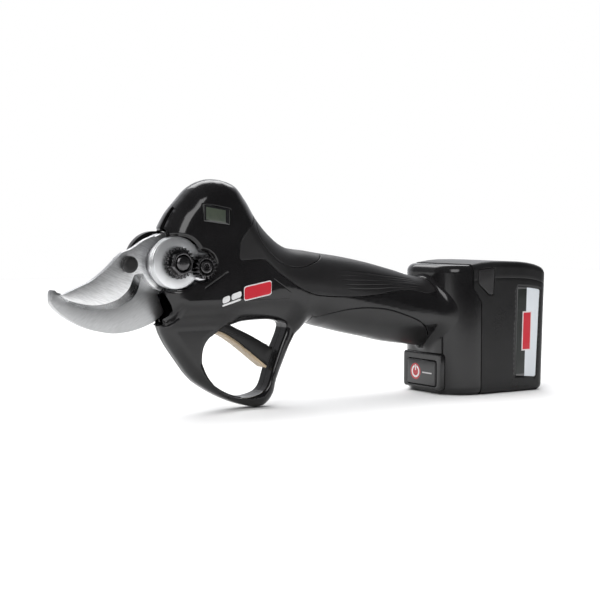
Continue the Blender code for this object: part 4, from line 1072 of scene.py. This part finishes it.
# %% Housing halves
for side, word in ((-1, "left"), (1, "right")):
    wall_piece(f"shell_{word}", [housing_half(side)], finishes["gloss"], "frame",
               (f"housing_{word}",))

# %% [markdown]
# ## Soft grips and print
# The grips are moulded over the housing and lie flush with it, so they are cut from the same form.
# Each has a small rounding at its border, which with the gap beside it reads as a fine dark seam. The
# long ribs on the grip are grooves in its surface. The badge and the bars are thick ink: the same
# form again, raised by a tenth of a millimetre, and the badge's red field by a little more.
# %% Grips
def pad_carve(points, border_lines, ridges):
    """Rounded border, and the grooves between the ribs."""
    depth = fillet(nearest(points, border_lines)[0], 0.45)
    for line in ridges:
        depth = depth + groove(points, line, 0.6, 0.28, 9.0)
    return depth


def pad_half(side, loop, hole=None, ridges=(), floor=SEAM):
    """One side of a grip, as a skin."""
    borders = [(loop, True)] + ([(hole, True)] if hole is not None else [])

    def keep(points):
        kept = inside(points, body_loop) & inside(points, loop)
        return kept if hole is None else kept & ~inside(points, hole)

    lines = frame_lines[:1] + [(resample(grown(loop, -k), 0.9, True), True) for k in (0.1, 0.25, 0.45)]
    if hole is not None:
        lines += [(resample(grown(hole, k), 0.9, True), True) for k in (0.1, 0.25, 0.45)]
    for line in ridges:
        lines += side_by_side(line, 0.6)
    return carved_skin(side, borders + lines, keep, lambda p: pad_carve(p, borders, ridges),
                       lambda p: np.full(len(p), floor), 1.5)


thumb_gap = grown(thumb_loop, GAP)
for side, word in ((-1, "left"), (1, "right")):
    grip = pad_half(side, grip_loop, thumb_gap, ridge_lines)
    wall_piece(f"grip_{word}", [thicken(*grip, PAD)], finishes["grip"], "frame",
               (f"overmould_{word}",))
    palm = pad_half(side, palm_loop)
    wall_piece(f"palm_{word}", [thicken(*palm, PAD)], finishes["smooth_grip"], "frame",
               (f"palm_pad_{word}",))


def merged(skins):
    """Joins skins where their points meet."""
    verts = np.vstack([v for v, _, _ in skins])
    normals = np.vstack([n for _, _, n in skins])
    starts = np.cumsum([0] + [len(v) for v, _, _ in skins[:-1]])
    faces = np.vstack([f + start for (_, f, _), start in zip(skins, starts)])
    _, first, same = np.unique(np.round(verts * 2000).astype(np.int64), axis=0, return_index=True,
                               return_inverse=True)
    faces = same.reshape(-1)[faces]
    distinct = (faces[:, 0] != faces[:, 1]) & (faces[:, 1] != faces[:, 2]) & (faces[:, 2] != faces[:, 0])
    return verts[first], faces[distinct], normals[first]


thumb = merged([pad_half(side, thumb_loop, floor=0.0) for side in (-1, 1)])
wall_piece("thumb_pad", [thicken(*thumb, PAD)], finishes["grip"], "frame", ("thumb_rest",))


# %% Badge and bars
def ink(name, outlines, finish, lift=0.12):
    """Raised print on the left side: the form lifted by lift millimetres inside each outline."""
    parts = []
    for outline in outlines:
        loop = facing(resample(soften(outline, 1.4, 4), 0.7, True), 1)
        skin = carved_skin(-1, [(loop, True)], lambda p: inside(p, loop), lambda p: np.full(len(p), -lift),
                           lambda p: np.full(len(p), SEAM), 1.5)
        parts.append(thicken(*skin, 0.3))
    wall_piece(name, parts, finish, "frame")


def slanted_bar(x0, x1, z, height, rise=0.30, lean=0.0):
    """Bar whose long sides rise towards the back."""
    return [(x0 + lean, z - height / 2), (x1 + lean, z - height / 2 + rise * (x1 - x0)),
            (x1, z + height / 2 + rise * (x1 - x0)), (x0, z + height / 2)]


ink("badge_rim", [slanted_bar(-53.0, -35.8, 66.4, 8.2, 0.19)], finishes["white"])
BADGE_BORDER = 0.7
badge = offset(facing(slanted_bar(-53.0, -35.8, 66.4, 8.2, 0.19), 1), BADGE_BORDER)
ink("badge_bar", [badge], finishes["red"], 0.26)
ink("marking_bars", [slanted_bar(-66.5, -61.8, 62.9, 3.4), slanted_bar(-60.9, -54.6, 64.6, 3.4),
                     slanted_bar(-66.3, -54.8, 60.1, 1.1)], finishes["white"])

# %% [markdown]
# ## Blade head
# The moving blade is a plate whose outer face is drawn back from the cutting edge, so the side
# between the two outlines becomes the ground bevel. The counter blade is a thicker hook. Both are
# splines through a few points, because a ground edge never shows corners.
# %% Blades
def even(points, count):
    """The same number of points on any spline through points."""
    return spread(spline(points, 0.4), count)


hub_back = arc(PIVOT, HUB_RADIUS, 118, -160, 60)[::-1]
spine = even(BLADE_SPINE, 60)
drive_spots = arc(PIVOT, 10.5, -25, 60, 2)
blade_holes = [circle(PIVOT, 6.5, 60)] + [circle(spot, 1.8, 24) for spot in [*drive_spots, STOP_PIN]]
flat_side = np.vstack([even(CUTTING_EDGE, 60), hub_back, spine])
bevel_side = np.vstack([even(BEVEL_LINE, 60), hub_back, spine])
blade = solid_piece("cutting_blade",
                    [plate([flat_side] + blade_holes, -0.3, -4.0, 0.12, low_edge=0.06,
                           tops=[bevel_side] + blade_holes)],
                    finishes["blade"], "blade", ("moving_blade",), 20)
blade.data.materials.append(finishes["edge"])
middles = np.array([p.center for p in blade.data.polygons]) / MM - (X_SHIFT, 0, 0)
tilted = np.abs(np.array([p.normal.y for p in blade.data.polygons]))
ground = (middles[:, 2] < 76) & (middles[:, 0] < -107) & (tilted > 0.15) & (tilted < 0.93)
blade.data.polygons.foreach_set("material_index", ground.astype(np.int32))

hub_low = arc(PIVOT, HUB_RADIUS, -98, 176, 60)
hook_loop = np.vstack([spline(HOOK_OUTSIDE, 1.2), hub_low, spline(HOOK_INSIDE, 1.2)])
hook_loop[:, 0] = np.maximum(hook_loop[:, 0], -159.58)
hook_holes = [circle(PIVOT, 4.4, 48)] + [circle(spot, 1.9, 24) for spot in [(-84.0, 78.0), (-99.5, 93.5)]]
solid_piece("hook_blade", [plate([hook_loop] + hook_holes, 0.0, 5.0, 0.6, low_edge=0.5)], finishes["hook"],
            "frame", ("counter_blade",), 30)


# %% Head block, nut, pinion and bolt
def joined_discs(first, first_radius, second, second_radius, count=160):
    """Outline of two overlapping discs: each circle's points that lie outside the other."""
    first, second = np.array(first), np.array(second)
    towards = math.atan2(*(second - first)[::-1])
    gap = math.dist(first, second)
    half = math.acos((gap ** 2 + first_radius ** 2 - second_radius ** 2) / (2 * gap * first_radius))
    other = math.acos((gap ** 2 + second_radius ** 2 - first_radius ** 2) / (2 * gap * second_radius))
    big = arc(first, first_radius, math.degrees(towards + half), math.degrees(towards - half) + 360, count)
    start, end = math.degrees(towards + math.pi + other), math.degrees(towards + 3 * math.pi - other)
    small = arc(second, second_radius, start, end, count // 2)
    return np.vstack([big, small[1:-1]])


block_line = joined_discs(PIVOT, 14.3, LOCK_PINION, 8.0)
block_levels = [(0.4, -8.6), (0.0, -9.0), (0.0, -10.6), (0.28, -10.8), (0.28, -11.2), (0.0, -11.4),
                (0.0, -13.0), (0.28, -13.2), (0.28, -13.6), (0.0, -13.8), (0.0, -14.5), (0.25, -15.05),
                (0.7, -15.3)]
AXIS_TILT = math.radians(-10.7)
along_axis = np.array([math.cos(AXIS_TILT), math.sin(AXIS_TILT)])
over_axis = np.array([-along_axis[1], along_axis[0]])
arm = np.array([PIVOT + s * along_axis + n * over_axis
                for s, n in ((6, -12), (30.6, -12), (30.6, 12), (6, 12))])
bores = [circle(PIVOT, 4.5, 48), circle(LOCK_PINION, 1.85, 24)]
solid_piece("head_disc",
            [stack([block_line] + bores, block_levels), plate([soften(arm, 1.0)], -11.4, -8.9, 0.3)],
            finishes["machined"], "frame", ("head_block_left",), 30)
boss = [(4.5, 5.3), (13.8, 5.3), (13.8, 11.8), (17.0, 11.8), (17.0, 15.8), (16.6, 16.6), (15.8, 17.0),
        (11.6, 17.0), (11.2, 16.5), (9.6, 16.5), (9.2, 17.0), (4.5, 17.0)]
solid_piece("head_boss", [lathe(boss, PIVOT), plate([soften(arm, 1.0)], 8.6, 11.4, 0.3)], finishes["satin"],
            "frame", ("head_block_right",), 30)

towards = math.atan2(LOCK_PINION[1] - PIVOT[1], LOCK_PINION[0] - PIVOT[0])
tooth_module = 2 * math.dist(LOCK_PINION, PIVOT) / (24 + 18)
nut_line = soften(gear_line(PIVOT, 24, tooth_module, towards), 0.25, 2)
hexagon = soften(circle(PIVOT, 6.9, 6, 0.3), 0.9, 5)
bore = circle(PIVOT, 4.35, 40)
solid_piece("toothed_nut", [plate([nut_line, bore], -15.8, -18.6, 0.12),
                            plate([hexagon, bore], -18.2, -22.3, 0.8, low_edge=0.05)],
            finishes["steel"], "frame", ("lock_nut",), 30)
pinion_line = soften(gear_line(LOCK_PINION, 18, tooth_module, towards + math.pi + math.pi / 18), 0.25, 2)
solid_piece("toothed_pinion", [plate([pinion_line, circle(LOCK_PINION, 1.85, 36)], -15.8, -22.0, 0.12,
                                     tops=[pinion_line, circle(LOCK_PINION, 4.3, 36)])],
            finishes["steel"], "frame", ("lock_pinion",), 30)
socket = circle(LOCK_PINION, 1.7, 6)
shank = [(0, -9.2), (1.5, -9.2), (1.5, -18.9), (3.5, -18.9), (3.5, -20.2), (0, -20.2)]
solid_piece("pinion_screw",
            [lathe(shank, LOCK_PINION, 48),
             plate([circle(LOCK_PINION, 3.5, 48), socket], -20.2, -22.4, 0.45, low_edge=0.01)],
            finishes["steel"], "frame", ("lock_screw",), 30)
bolt = [(0, -23.2), (2.6, -23.2), (3.3, -22.9), (3.9, -22.2), (4.0, 17.3), (8.2, 17.3), (8.2, 18.8),
        (0, 18.8)]
bolt_head = [circle(PIVOT, 8.2, 72), circle(PIVOT, 3.4, 6)]
solid_piece("centre_bolt", [lathe(bolt, PIVOT), plate(bolt_head, 18.8, 21.5, 0.6, low_edge=0.01)],
            finishes["steel"], "frame", ("pivot_bolt",), 30)
for word, near, far, hollow in (("left", -4.3, -8.3, 0.0), ("right", 0.0, 9.0, 1.8)):
    way = 1 if far > near else -1
    knob = [(1.8, near), (4.4, near), (4.5, near + 0.2 * way), (4.5, far - 1.3 * way), (4.1, far - 0.4 * way),
            (3.3, far), (2.2, far), (hollow, far)]
    knob += [(0.0, -8.0), (1.8, -8.0)] if hollow == 0 else []
    solid_piece(f"stop_knob_{word}", [lathe(knob, STOP_PIN, 48)], finishes["rubber"], "blade",
                (f"stop_bumper_{word}",), 40)

# %% [markdown]
# ## Display, trigger and screws
# The display sits a little below the surface, so the housing's rounded opening frames it. The
# trigger is one curved bar; its finger side carries a tan strip.
# %% Display and trigger
solid_piece("display_glass", [plate([resample(offset(display_loop, 0.12), 0.8, True)], -14.9, -16.9, 0.35)],
            finishes["display"], "frame", ("display_lens",), 30)
face = spline(TRIGGER_FACE, 1.0)
strip = np.vstack([face, offset(face, 1.4, closed=False)[::-1]])
solid_piece("finger_strip", [plate([soften(strip, 0.3, 2)], -4.7, 4.7, 0.15)], finishes["cream"],
            "trigger_lever", ("trigger_facing",), 40)
lever_face = offset(face, 1.45, closed=False)
barrel = arc(TRIGGER_HINGE, 3.8, 95, 290, 30)
lever = np.vstack([lever_face[:-1], soften(np.vstack([lever_face[-2:], TRIGGER_BACK[:2]]), 2.2, 6)[7:-7],
                   spline(TRIGGER_BACK, 1.0)[1:], barrel])
pin = [(0, -7.0), (1.5, -7.0), (1.5, 7.0), (0, 7.0)]
solid_piece("hinge_pin", [lathe(pin, TRIGGER_HINGE, 36)], finishes["steel"], "frame",
            ("trigger_pin",), 30)
solid_piece("finger_lever", [plate([lever, circle(TRIGGER_HINGE, 1.8, 32)], -5.4, 5.4, 0.9)],
            finishes["satin"], "trigger_lever", ("trigger",), 40)

# %% Housing screws
for name, spot, under in HOUSING_SCREWS:
    shank = [(0, under - 8.5), (1.25, under - 8.5), (1.25, under), (2.3, under), (2.3, under + 1.0),
             (0, under + 1.0)]
    head = [circle(spot, 2.3, 36), circle(spot, 1.2, 6)]
    solid_piece(name.replace("housing", "case"),
                [lathe(shank, spot, 36), plate(head, under + 1.0, under + 2.4, 0.3, low_edge=0.01)],
                finishes["steel"], "frame", (name,), 30)

# %% [markdown]
# ## Holder and battery
# Both are upright columns with rounded plans. Their wall is unrolled: one flat coordinate runs round
# the plan, the other up the side and over the edge roundings. Drawn like this, the hole for the
# handle, the label's bed and the latch opening are plain outlines in the net.
# %% Upright columns
class Column:
    """Upright wall over a plan with rounded corners, and edge roundings at floor and top."""

    def __init__(self, front, flat_half, corner, straight_x, direction, side, height, edge, back):
        self.front = front
        self.flat_half = flat_half
        self.corner = corner
        self.straight_x = straight_x
        self.direction = direction
        self.side = side
        self.height = height
        self.edge = edge
        self.back = back
        self.quarter = edge * math.pi / 2
        self.tall = 2 * self.quarter + height - 2 * edge

    def rise(self, v):
        """Height, inset and the upward lean of the normal at distance v up the wall."""
        top = self.tall - self.quarter
        a = np.where(v < self.quarter, v / self.edge - np.pi / 2, np.clip(v - top, 0, None) / self.edge)
        high = np.where(v > top, self.height - self.edge + self.edge * np.sin(a),
                        v - self.quarter + self.edge)
        z = np.where(v < self.quarter, self.edge * (1 + np.sin(a)), high)
        return z, self.edge * (1 - np.cos(a)), a

    def to_v(self, z):
        return np.asarray(z, float) - self.edge + self.quarter

    def to_s(self, x, sign):
        """Distance round the plan to a place on the straight side."""
        return sign * (self.flat_half + self.corner * math.pi / 2 + (x - self.straight_x) * self.direction)

    def reach(self, z):
        """How far round the plan the wall goes at a height."""
        x = self.back(z)
        over = (x - self.straight_x) * self.direction
        bent = np.arccos(np.clip(-over / self.corner, 0, 1))
        return self.flat_half + np.where(over >= 0, self.corner * np.pi / 2 + over, self.corner * bent)

    def place(self, flat):
        """Point and outward normal at (distance round, distance up)."""
        s, v = flat.T
        z, inset, lean = self.rise(v)
        sign = np.where(s < 0, -1.0, 1.0)
        size = np.abs(s)
        bend = np.clip((size - self.flat_half) / self.corner, 0, np.pi / 2)
        on = np.clip(size - self.flat_half - self.corner * np.pi / 2, 0, None)
        radius = self.corner - inset
        start = self.straight_x
        x = start - self.direction * radius * np.cos(bend) + self.direction * on
        y = sign * (np.minimum(size, self.flat_half) + radius * np.sin(bend))
        normal = np.stack([-self.direction * np.cos(bend) * np.cos(lean), sign * np.sin(bend) * np.cos(lean),
                           np.sin(lean)], 1)
        return np.stack([x, y, z], 1), normal

    def outline(self, spacing=1.3):
        """The net's border: floor edge, far side, top edge, near side."""
        up = np.linspace(0, self.tall, round(self.tall / spacing))
        ends = self.reach(self.rise(up)[0])
        floor = np.linspace(-ends[0], ends[0], round(2 * ends[0] / spacing))
        top = np.linspace(ends[-1], -ends[-1], round(2 * ends[-1] / spacing))
        return np.vstack([np.stack([floor, 0 * floor], 1)[:-1], np.stack([ends, up], 1)[:-1],
                          np.stack([top, 0 * top + self.tall], 1)[:-1], np.stack([-ends, up], 1)[::-1][:-1]])

    def skin(self, lines, keep, carve, shape=None):
        """Wall, floor and top as one skin; shape, where given, bends the finished points."""
        border_loop = self.outline()
        rows = [np.array([(-200, v), (200, v)], float) for v in
                (*np.linspace(0, self.quarter, 6)[1:], *(self.tall - np.linspace(0, self.quarter, 6)[1:]))]
        rows = [(np.stack([np.linspace(-self.reach(self.rise(r[0, 1:])[0])[0] + 0.3,
                                       self.reach(self.rise(r[0, 1:])[0])[0] - 0.3, 150),
                           np.full(150, r[0, 1])], 1), False) for r in rows]
        flat, faces = net([(border_loop, True)] + lines + rows,
                          lambda p: inside(p, border_loop) & keep(p), (), 1.8)
        base, normal = self.place(flat)
        depth = carve(flat)
        step = 0.03
        slope = np.zeros_like(base)
        for move in ((step, 0), (0, step)):
            change = (carve(flat + move) - carve(flat - move)) / (2 * step)
            change[np.abs(change) > 2.5] = 0
            along = (self.place(flat + move)[0] - self.place(flat - move)[0]) / (2 * step)
            slope += change[:, None] * along / np.maximum((along ** 2).sum(1), 1e-6)[:, None]
        bent = normal + slope
        bent /= np.linalg.norm(bent, axis=1)[:, None]
        skins = [(base - depth[:, None] * normal, faces, bent)]
        for v, up in ((0.0, -1.0), (self.tall, 1.0)):
            ring = self.place(border_loop[border_loop[:, 1] == v])[0][:, :2]
            ends = ring[[0, -1]]
            chord = np.stack([np.full(40, ends[0, 0]), np.linspace(ends[1, 1], ends[0, 1], 40)], 1)[1:-1]
            loop = np.vstack([ring, chord])
            loop_ccw = facing(loop, 1)
            spot, tri = net([(loop_ccw, True)], lambda p: inside(p, loop_ccw), (), 3.5)
            cap = np.stack([spot[:, 0], spot[:, 1], np.full(len(spot), 0.0 if v == 0 else self.height)], 1)
            skins.append((cap, tri, np.tile((0.0, 0.0, up), (len(cap), 1))))
        skins = [(v, f[:, ::-1] if np.median((face_normals(v, f) * n[f[:, 0]]).sum(1)) < 0 else f, n)
                 for v, f, n in skins]
        verts, faces, normals = merged(skins)
        if shape is not None:
            verts, normals = shape(verts, normals)
        return verts, faces, normals


def wedge(low_x, high_x):
    """Where the two columns part: straight, then leaning forward between 57 and 67 mm up."""
    return lambda z: low_x + (high_x - low_x) * np.clip((np.asarray(z, float) - 57.0) / 9.8, 0, 1)


# %% Holder
holder = Column(86.0, 10.0, 20.0, 106.0, 1, SIDE, HOLDER_TOP, 5.0, wedge(107.5, 101.2))


def handle_section(x, grow):
    """Closed (y, z) section of the handle at x, moved outwards by grow."""
    z = rim_line[:, 1]
    tops = rim_line[: len(rim_line) // 2]
    lows = rim_line[len(rim_line) // 2:]
    top = np.interp(x, tops[::-1, 0], tops[::-1, 1])
    low = np.interp(x, lows[lows[:, 0] > 0][:, 0], lows[lows[:, 0] > 0][:, 1])
    turn_by = np.linspace(0, np.pi, 61)
    z = (top + low) / 2 + (top - low) / 2 * np.cos(turn_by)
    z = np.clip(z, low + 1e-3, top - 1e-3)
    y = body_surface(np.stack([np.full(61, x), z], 1))[0]
    y[[0, -1]] = 0
    half = np.stack([y, z], 1)
    loop = np.vstack([half, (half * (-1, 1))[::-1][1:-1]])
    return grown(resample(loop, 1.0, True), grow) if grow else facing(resample(loop, 1.0, True), 1)


def round_front(y):
    """Distance round the holder's plan to a place y across its front."""
    over = np.clip((np.abs(y) - 10) / 20, 0, 1)
    return np.where(np.abs(y) < 10, y, np.sign(y) * (10 + 20 * np.arcsin(over)))


section = handle_section(89.0, 0.9)
hole = facing(np.stack([round_front(section[:, 0]), holder.to_v(section[:, 1])], 1), 1)
panel_box = rounded_box(-19.3, 19.3, 2.7, 25.6, 2.4)
panel = facing(np.stack([round_front(panel_box[:, 0]), holder.to_v(np.maximum(panel_box[:, 1], 2.7))], 1), 1)
holder_skin = holder.skin([(hole, True), (resample(panel, 1.0, True), True)],
                          lambda p: ~inside(p, hole) & ~inside(p, panel), lambda p: np.zeros(len(p)))
wall_piece("holder_shell", [thicken(*holder_skin, 2.4)], finishes["gloss"], "frame",
           ("battery_holder",))


def front_x(y):
    """The holder's front face at y across."""
    over = np.clip((np.abs(y) - 10) / 20, 0, 0.98)
    return 106 - 20 * np.sqrt(1 - over ** 2)


def neck(count=160, steps=9):
    """Ring that blends the handle into the holder: a concave quarter circle, its radius 6 mm at the
    sides, less on top, where the holder's own edge is near, and less under the handle."""
    ring = spread(handle_section(NECK_START, 0), count, True)
    outward = -(offset(ring, 1.0) - ring)
    radius = NECK_RADIUS - 3.6 * ease(outward[:, 1] * 1.2) - 1.5 * ease(-outward[:, 1])
    rings = []
    for t in np.linspace(0, 1, steps):
        grow = radius * (1 - math.cos(t * math.pi / 2))
        back = radius * (1 - math.sin(t * math.pi / 2))
        spot = ring + grow[:, None] * outward
        place_x = front_x(spot[:, 0]) - back
        drop = -(place_x - NECK_START) * HANDLE_FALL
        rings.append(np.stack([place_x, spot[:, 0], spot[:, 1] + drop * (1 - t)], 1))
    sunk = rings[-1] + np.stack([np.full(count, 1.2), -0.3 * outward[:, 0], -0.3 * outward[:, 1]], 1)
    hidden = rings[0] + np.stack([np.full(count, 1.5), -1.0 * outward[:, 0], -1.0 * outward[:, 1]], 1)
    start = rings[0] - np.stack([0 * outward[:, 0], 0.25 * outward[:, 0], 0.25 * outward[:, 1]], 1)
    return [start] + rings + [sunk, hidden]


def ring_solid(rings):
    """Joins rings of points into a closed tube that bites its own tail."""
    count, deep = len(rings[0]), len(rings)
    i = np.arange(count)
    j = (i + 1) % count
    faces = []
    for k in range(deep):
        on = (k + 1) % deep
        faces += np.stack([k * count + i, k * count + j, on * count + j, on * count + i], 1).tolist()
    return np.vstack(rings), faces


solid_piece("neck_ring", [ring_solid(neck())], finishes["gloss"], "frame", (), 50)

# %% Power button in its frame
frame_box = rounded_box(-19, 19, 3.0, 25.3, 2.2)
opening = rounded_box(-14.3, 14.3, 4.9, 20.8, 1.5)
solid_piece("button_frame", [plate([frame_box, opening], 90.0, 85.2, 0.6, lengthwise, 4, low_edge=0.1)],
            finishes["gloss"], "frame", ("button_bezel",), 40)
solid_piece("rocker_button", [plate([rounded_box(-14, 14, 5.2, 20.5, 1.3)], 88.6, 84.5, 0.6, lengthwise, 4)],
            finishes["button"], "switch_button", ("power_button",), 40)

# %% Battery
battery = Column(BATTERY_BACK, 24.0, 6.0, 156.5, -1, SIDE, BATTERY_TOP, 4.0, wedge(108.2, 101.7))
LATCH = [(105.4, 69.4), (113.6, 61.8), (117.0, 61.4), (118.0, 78.0), (105.4, 78.0)]
LABEL = [(135.6, 10.3), (153.9, 8.8), (155.5, 65.5), (136.8, 66)]


def on_side(outline, sign, grow=0.0, rounding=1.0):
    """A side view outline as a loop in the battery's net."""
    loop = resample(grown(facing(soften(outline, rounding), 1), grow), 0.9, True)
    return facing(np.stack([battery.to_s(loop[:, 0], sign), battery.to_v(loop[:, 1])], 1), 1)


latch_holes = [on_side(LATCH, sign, GAP) for sign in (-1, 1)]
label_bed = on_side(LABEL, -1, GAP)
lid_v = float(battery.to_v(71.6))


def battery_carve(flat):
    """Label bed, rounded latch openings and the fine line round the lid."""
    depth = 0.6 * np.clip(depth_within(flat, label_bed) / 0.2, 0, 1)
    for loop in latch_holes:
        depth = depth + fillet(np.clip(-depth_within(flat, loop), 0, None), 0.4)
    line = np.clip(1 - ((flat[:, 1] - lid_v) / 0.45) ** 2, 0, 1) ** 2
    return depth + 0.3 * line


def crowned(verts, normals):
    """Lowers the top towards its back, and leans the back wall in towards the floor."""
    x, _, z = verts.T
    crown = np.interp(x, [101.6, 110, 118, 129, 140, 147, 153, 157, 162.5],
                      [80.4, 81.5, 82, 81.9, 81.5, 80.8, 79.7, 78.4, 76.6])
    drop = (82 - crown) * ease((z - 50) / 28)
    lean = 2.4 * (1 - z / 82) * ease((x - 135) / 26)
    moved = verts - np.stack([lean, 0 * x, drop], 1)
    slope = np.interp(x, [101.6, 106, 118, 129, 140, 147, 153, 157, 162.5],
                      [0.1, 0.1, 0.0, -0.02, -0.06, -0.13, -0.24, -0.34, -0.4])
    tipped = normals - np.stack([slope * np.clip(normals[:, 2], 0, 1), 0 * x, 0 * x], 1)
    return moved, tipped / np.linalg.norm(tipped, axis=1)[:, None]


seed = [(loop, True) for loop in latch_holes]
seed += [(grown(loop, k), True) for loop in latch_holes for k in (0.1, 0.25, 0.4)]
seed += [(label_bed, True), (grown(label_bed, -0.2), True)]
seed += [(np.stack([np.linspace(-88, 88, 150), np.full(150, lid_v + k)], 1), False)
         for k in (-0.45, -0.2, 0, 0.2, 0.45)]
battery_skin = battery.skin(seed, lambda p: ~inside(p, latch_holes[0]) & ~inside(p, latch_holes[1]),
                            battery_carve, crowned)
wall_piece("battery_shell", [thicken(*battery_skin, 1.8)], finishes["satin"], "battery",
           ("battery_case",))
def bent_plate(outline, low, high, edge, low_edge):
    """Plate that follows the battery's leaning back and lowered top."""
    verts, faces = plate([resample(outline, 1.2, True)], low, high, edge, low_edge=low_edge)
    return crowned(verts, np.tile((0.0, 1.0, 0.0), (len(verts), 1)))[0], faces


solid_piece("battery_label", [bent_plate(soften(LABEL, 0.9), -29.5, -30.0, 0.12, 0.05)], finishes["label"],
            "battery", ("label_plate",), 40)
for sign, word in ((-1, "left"), (1, "right")):
    solid_piece(f"latch_{word}", [bent_plate(soften(LATCH, 1.0), sign * 25.0, sign * 30.3, 0.6, 0.05)],
                finishes["grip"], f"release_{word}", (f"release_button_{word}",), 40)

# %% [markdown]
# ## Studio
# The pruner stands on a white table: black gloss plastic shows whatever surrounds it, so the room is
# dark on the viewer's side and the table ends early there, while a pale wall stands behind, which the
# tops of handle and holder reflect. Two soft boxes draw the highlights. A wide soft sun lights the
# table evenly and is hidden from reflections. What the camera sees past the table is plain white.
# %% Table, room and lights
TABLE_NEAR, TABLE_FAR = 0.55, 1.6
ROOM_DARK, ROOM_PALE = 0.09, 0.8
TOWARDS_WALL = (0.537, 0.843, -0.35)


def make_table():
    mesh = bpy.data.meshes.new("table")
    near, far = TABLE_NEAR, TABLE_FAR
    mesh.from_pydata([(-far, -near, 0), (far, -near, 0), (far, far, 0), (-far, far, 0)], [], [(0, 1, 2, 3)])
    paint = Finish("table_white", Roughness=0.85, Base_Color=(0.92, 0.92, 0.92, 1))
    tone = paint.noise(3, 2)
    paint.feed(Base_Color=paint.mix(tone, (0.915, 0.915, 0.915), (0.925, 0.925, 0.925)))
    mesh.materials.append(paint.material)
    table = bpy.data.objects.new("table", mesh)
    bpy.context.scene.collection.objects.link(table)


def soft_box(name, place, target, width, height, power):
    """Rectangular lamp that faces a target."""
    lamp = bpy.data.lights.new(name, "AREA")
    lamp.shape = "RECTANGLE"
    lamp.size, lamp.size_y, lamp.energy = width, height, power
    made = bpy.data.objects.new(name, lamp)
    made.location = place
    made.rotation_euler = (Vector(target) - Vector(place)).to_track_quat("-Z", "Y").to_euler()
    bpy.context.scene.collection.objects.link(made)
    return made


make_table()
world_tree = bpy.data.worlds.new("studio")
world_tree.use_nodes = True
bpy.context.scene.world = world_tree
tree = world_tree.node_tree
seen = tree.nodes.new("ShaderNodeLightPath")
room = tree.nodes["Background"]
look = tree.nodes.new("ShaderNodeTexCoord")
behind = tree.nodes.new("ShaderNodeVectorMath")
behind.operation = "DOT_PRODUCT"
behind.inputs[1].default_value = TOWARDS_WALL
tree.links.new(look.outputs["Generated"], behind.inputs[0])
wall = tree.nodes.new("ShaderNodeMapRange")
for key, value in (("From Min", 0.15), ("From Max", 0.7), ("To Min", ROOM_DARK), ("To Max", ROOM_PALE)):
    wall.inputs[key].default_value = value
tree.links.new(behind.outputs["Value"], wall.inputs["Value"])
tree.links.new(wall.outputs["Result"], room.inputs[1])
room.inputs[0].default_value = (0.95, 0.96, 1.0, 1)
paper = tree.nodes.new("ShaderNodeBackground")
paper.inputs[0].default_value = (1.0, 1.0, 1.0, 1)
paper.inputs[1].default_value = 1.0
either = tree.nodes.new("ShaderNodeMixShader")
tree.links.new(seen.outputs["Is Camera Ray"], either.inputs[0])
tree.links.new(room.outputs[0], either.inputs[1])
tree.links.new(paper.outputs[0], either.inputs[2])
tree.links.new(either.outputs[0], tree.nodes["World Output"].inputs[0])

sun = bpy.data.lights.new("table_sun", "SUN")
sun.angle = math.radians(70)
sun.energy = 3.6
sun_at = bpy.data.objects.new("table_sun", sun)
sun_at.rotation_euler = (math.radians(-14), math.radians(-10), 0)
sun_at.visible_glossy = False
bpy.context.scene.collection.objects.link(sun_at)
soft_box("overhead_box", (0.35, 0.75, 0.8), (0.05, 0, 0.05), 0.9, 0.4, 3)
soft_box("side_box", (-0.78, -0.62, 0.82), (-0.08, 0, 0.1), 0.6, 0.9, 7)
bpy.context.scene.view_settings.view_transform = "Standard"

# %% Camera
lens = bpy.data.cameras.new("camera")
lens.lens = 80.48
lens.sensor_width = 36
camera = bpy.data.objects.new("camera", lens)
camera.location = (-0.42745, -0.6615, 0.1072)
camera.rotation_euler = (math.radians(86.60), 0, math.radians(-32.48))
bpy.context.scene.collection.objects.link(camera)
bpy.context.scene.camera = camera
